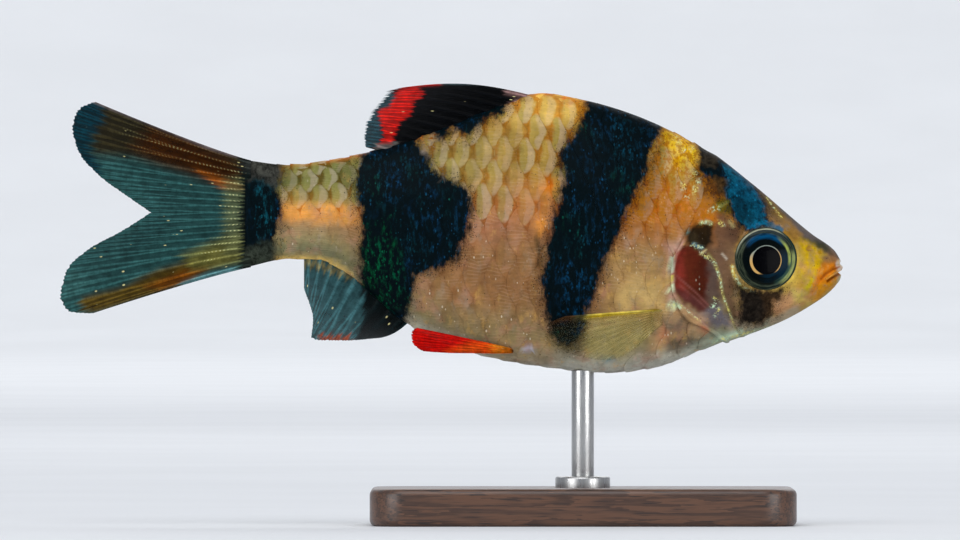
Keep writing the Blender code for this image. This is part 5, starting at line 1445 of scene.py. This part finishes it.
def beside_body(root, flare, side):
    """Places a paired fin: it leaves the flank square to it, and turns to lie back along it."""
    (x0, high), (_, low) = root
    lean = min(STEEPEST_LEAN, (flank(x0, high) - flank(x0, low)) / (high - low))
    middle = (high + low) / 2
    clear = max(flank(x0, z) - lean * (z - middle) for z in (low, middle, high)) + GAP

    def place(x, z):
        turn = 1 - np.minimum(1.0, (x0 - x) / PAIRED_TURN)
        out = clear + lean * (z - middle) + PAIRED_STEP * (1 - turn * turn) + flare * (x0 - x)
        return np.stack([x, side * out, z], axis=1)

    return place


CHEST_DYES, BELLY_DYES = (CHEST_TONE, CHEST_PATCHES, CHEST_LINES), (BELLY_TONE, BELLY_PATCHES, ())
CHEST_CLEAR, BELLY_CLEAR = (0.86, 0.93), (0.0, 0.2)
CHEST_LOOKS = {"stout": 0.09, "ray_tone": (60, 56, 16), "ray_body": 0.36, "ribbed": -0.7}
BELLY_LOOKS = {"ribbed": 0.35}
for side_name, side in (("left", 1), ("right", -1)):
    for fin, root, margin, rays, flare, dyes, clear, looks in (
        ("chest", CHEST_ROOT, CHEST_MARGIN, CHEST_RAYS, CHEST_FLARE, CHEST_DYES, CHEST_CLEAR, CHEST_LOOKS),
        ("belly", BELLY_ROOT, BELLY_MARGIN, BELLY_RAYS, BELLY_FLARE, BELLY_DYES, BELLY_CLEAR, BELLY_LOOKS),
    ):
        sunk_root = chain([(x + SUNK, z) for x, z in root])
        made = add_fin(
            f"fin_{fin}_{side_name}", sunk_root, chain(margin), rays, PAIRED_ROWS,
            beside_body(root, flare, side), dyes, clear, base_thick=PAIRED_BASE, **looks,
        )
        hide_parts(f"{fin}_fin_{side_name}")

# The stand
# A plain walnut block with rounded corners, and a steel rod in a turned collar that is let
# into the block and reaches up into the belly.
BASE_LENGTH, BASE_WIDTH, BASE_HEIGHT, BASE_CORNER, BASE_EDGE = 34.0, 21.0, 3.0, 3.0, 0.5
ROD_X, ROD_RADIUS, ROD_REACH, ROD_EDGE = 10.5, 0.9, 0.25, 0.12
COLLAR_RADIUS, COLLAR_HEIGHT, COLLAR_SUNK, COLLAR_EDGE = 2.2, 0.9, 0.2, 0.2


def round_edges(made, width, segments, degrees):
    """Rounds the edges that are sharper than an angle."""
    bpy.context.view_layer.objects.active = made
    rounding = made.modifiers.new("Rounding", "BEVEL")
    rounding.width, rounding.segments = width * MM, segments
    rounding.limit_method, rounding.angle_limit = "ANGLE", math.radians(degrees)
    bpy.ops.object.modifier_apply(modifier="Rounding")


bpy.ops.object.select_all(action="DESELECT")
bpy.ops.mesh.primitive_cube_add(size=1.0, location=(ROD_X * MM, 0.0, BASE_HEIGHT / 2 * MM))
block = newest("stand_plinth")
block.scale = (BASE_LENGTH * MM, BASE_WIDTH * MM, BASE_HEIGHT * MM)
bpy.ops.object.transform_apply(location=True, rotation=True, scale=True)
bpy.ops.object.mode_set(mode="EDIT")
bpy.ops.mesh.select_mode(type="EDGE")
bpy.ops.mesh.select_all(action="DESELECT")
bpy.ops.object.mode_set(mode="OBJECT")
for edge in block.data.edges:
    low, high = (block.data.vertices[i].co.z for i in edge.vertices)
    edge.select = abs(low - high) > BASE_HEIGHT / 2 * MM
bpy.ops.object.mode_set(mode="EDIT")
bpy.ops.mesh.bevel(offset=BASE_CORNER * MM, segments=12)
bpy.ops.object.mode_set(mode="OBJECT")
round_edges(block, BASE_EDGE, 5, 60)
bpy.ops.object.shade_smooth_by_angle(angle=math.radians(50))
walnut, tree, shader = new_material("walnut", 0.42)
rings = maths(tree, "FRACT", times(tree, clouds(tree, (0.045, 0.5, 0.5), 1.0, 5.0, 0.6), 9.0))
wood = mix(tree, remap(tree, rings, 0.1, 0.9), tone(92, 60, 40), tone(62, 38, 24))
pores = clouds(tree, (0.3, 8.0, 8.0), 1.0, 2.0)
wood = mix(tree, remap(tree, pores, 0.56, 0.68), wood, tone(34, 20, 13))
finish(tree, shader, wood, pores, 0.15, 0.1 * MM, Coat_Weight=0.35, Coat_Roughness=0.25)
block.data.materials.append(walnut)
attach(block, "root")
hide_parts("stand_base")

rod_top = belly(ROD_X) + ROD_REACH
bpy.ops.object.select_all(action="DESELECT")
bpy.ops.mesh.primitive_cylinder_add(
    vertices=64, radius=ROD_RADIUS * MM, depth=(rod_top - BASE_HEIGHT) * MM,
    location=(ROD_X * MM, 0.0, (rod_top + BASE_HEIGHT) / 2 * MM),
)
rod = bpy.context.object
bpy.ops.mesh.primitive_cylinder_add(
    vertices=96, radius=COLLAR_RADIUS * MM, depth=(COLLAR_HEIGHT + COLLAR_SUNK) * MM,
    location=(ROD_X * MM, 0.0, (BASE_HEIGHT + (COLLAR_HEIGHT - COLLAR_SUNK) / 2) * MM),
)
collar = bpy.context.object
for part, width in ((collar, COLLAR_EDGE), (rod, ROD_EDGE)):
    round_edges(part, width, 4, 40)
rod.select_set(True)
collar.select_set(True)
bpy.ops.object.join()
rod.name = rod.data.name = "stand_post"
bpy.ops.object.transform_apply(location=True, rotation=True, scale=True)
bpy.ops.object.shade_smooth_by_angle(angle=math.radians(35))
steel, tree, shader = new_material("brushed steel", 0.3)
brushed = clouds(tree, (6.0, 6.0, 0.6))
tree.links.new(remap(tree, brushed, 0.3, 0.7, 0.24, 0.4), shader.inputs["Roughness"])
finish(tree, shader, mix(tree, brushed, tone(196, 196, 194), tone(168, 168, 168)), Metallic=1.0)
rod.data.materials.append(steel)
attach(rod, "root")
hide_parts("stand_rod")
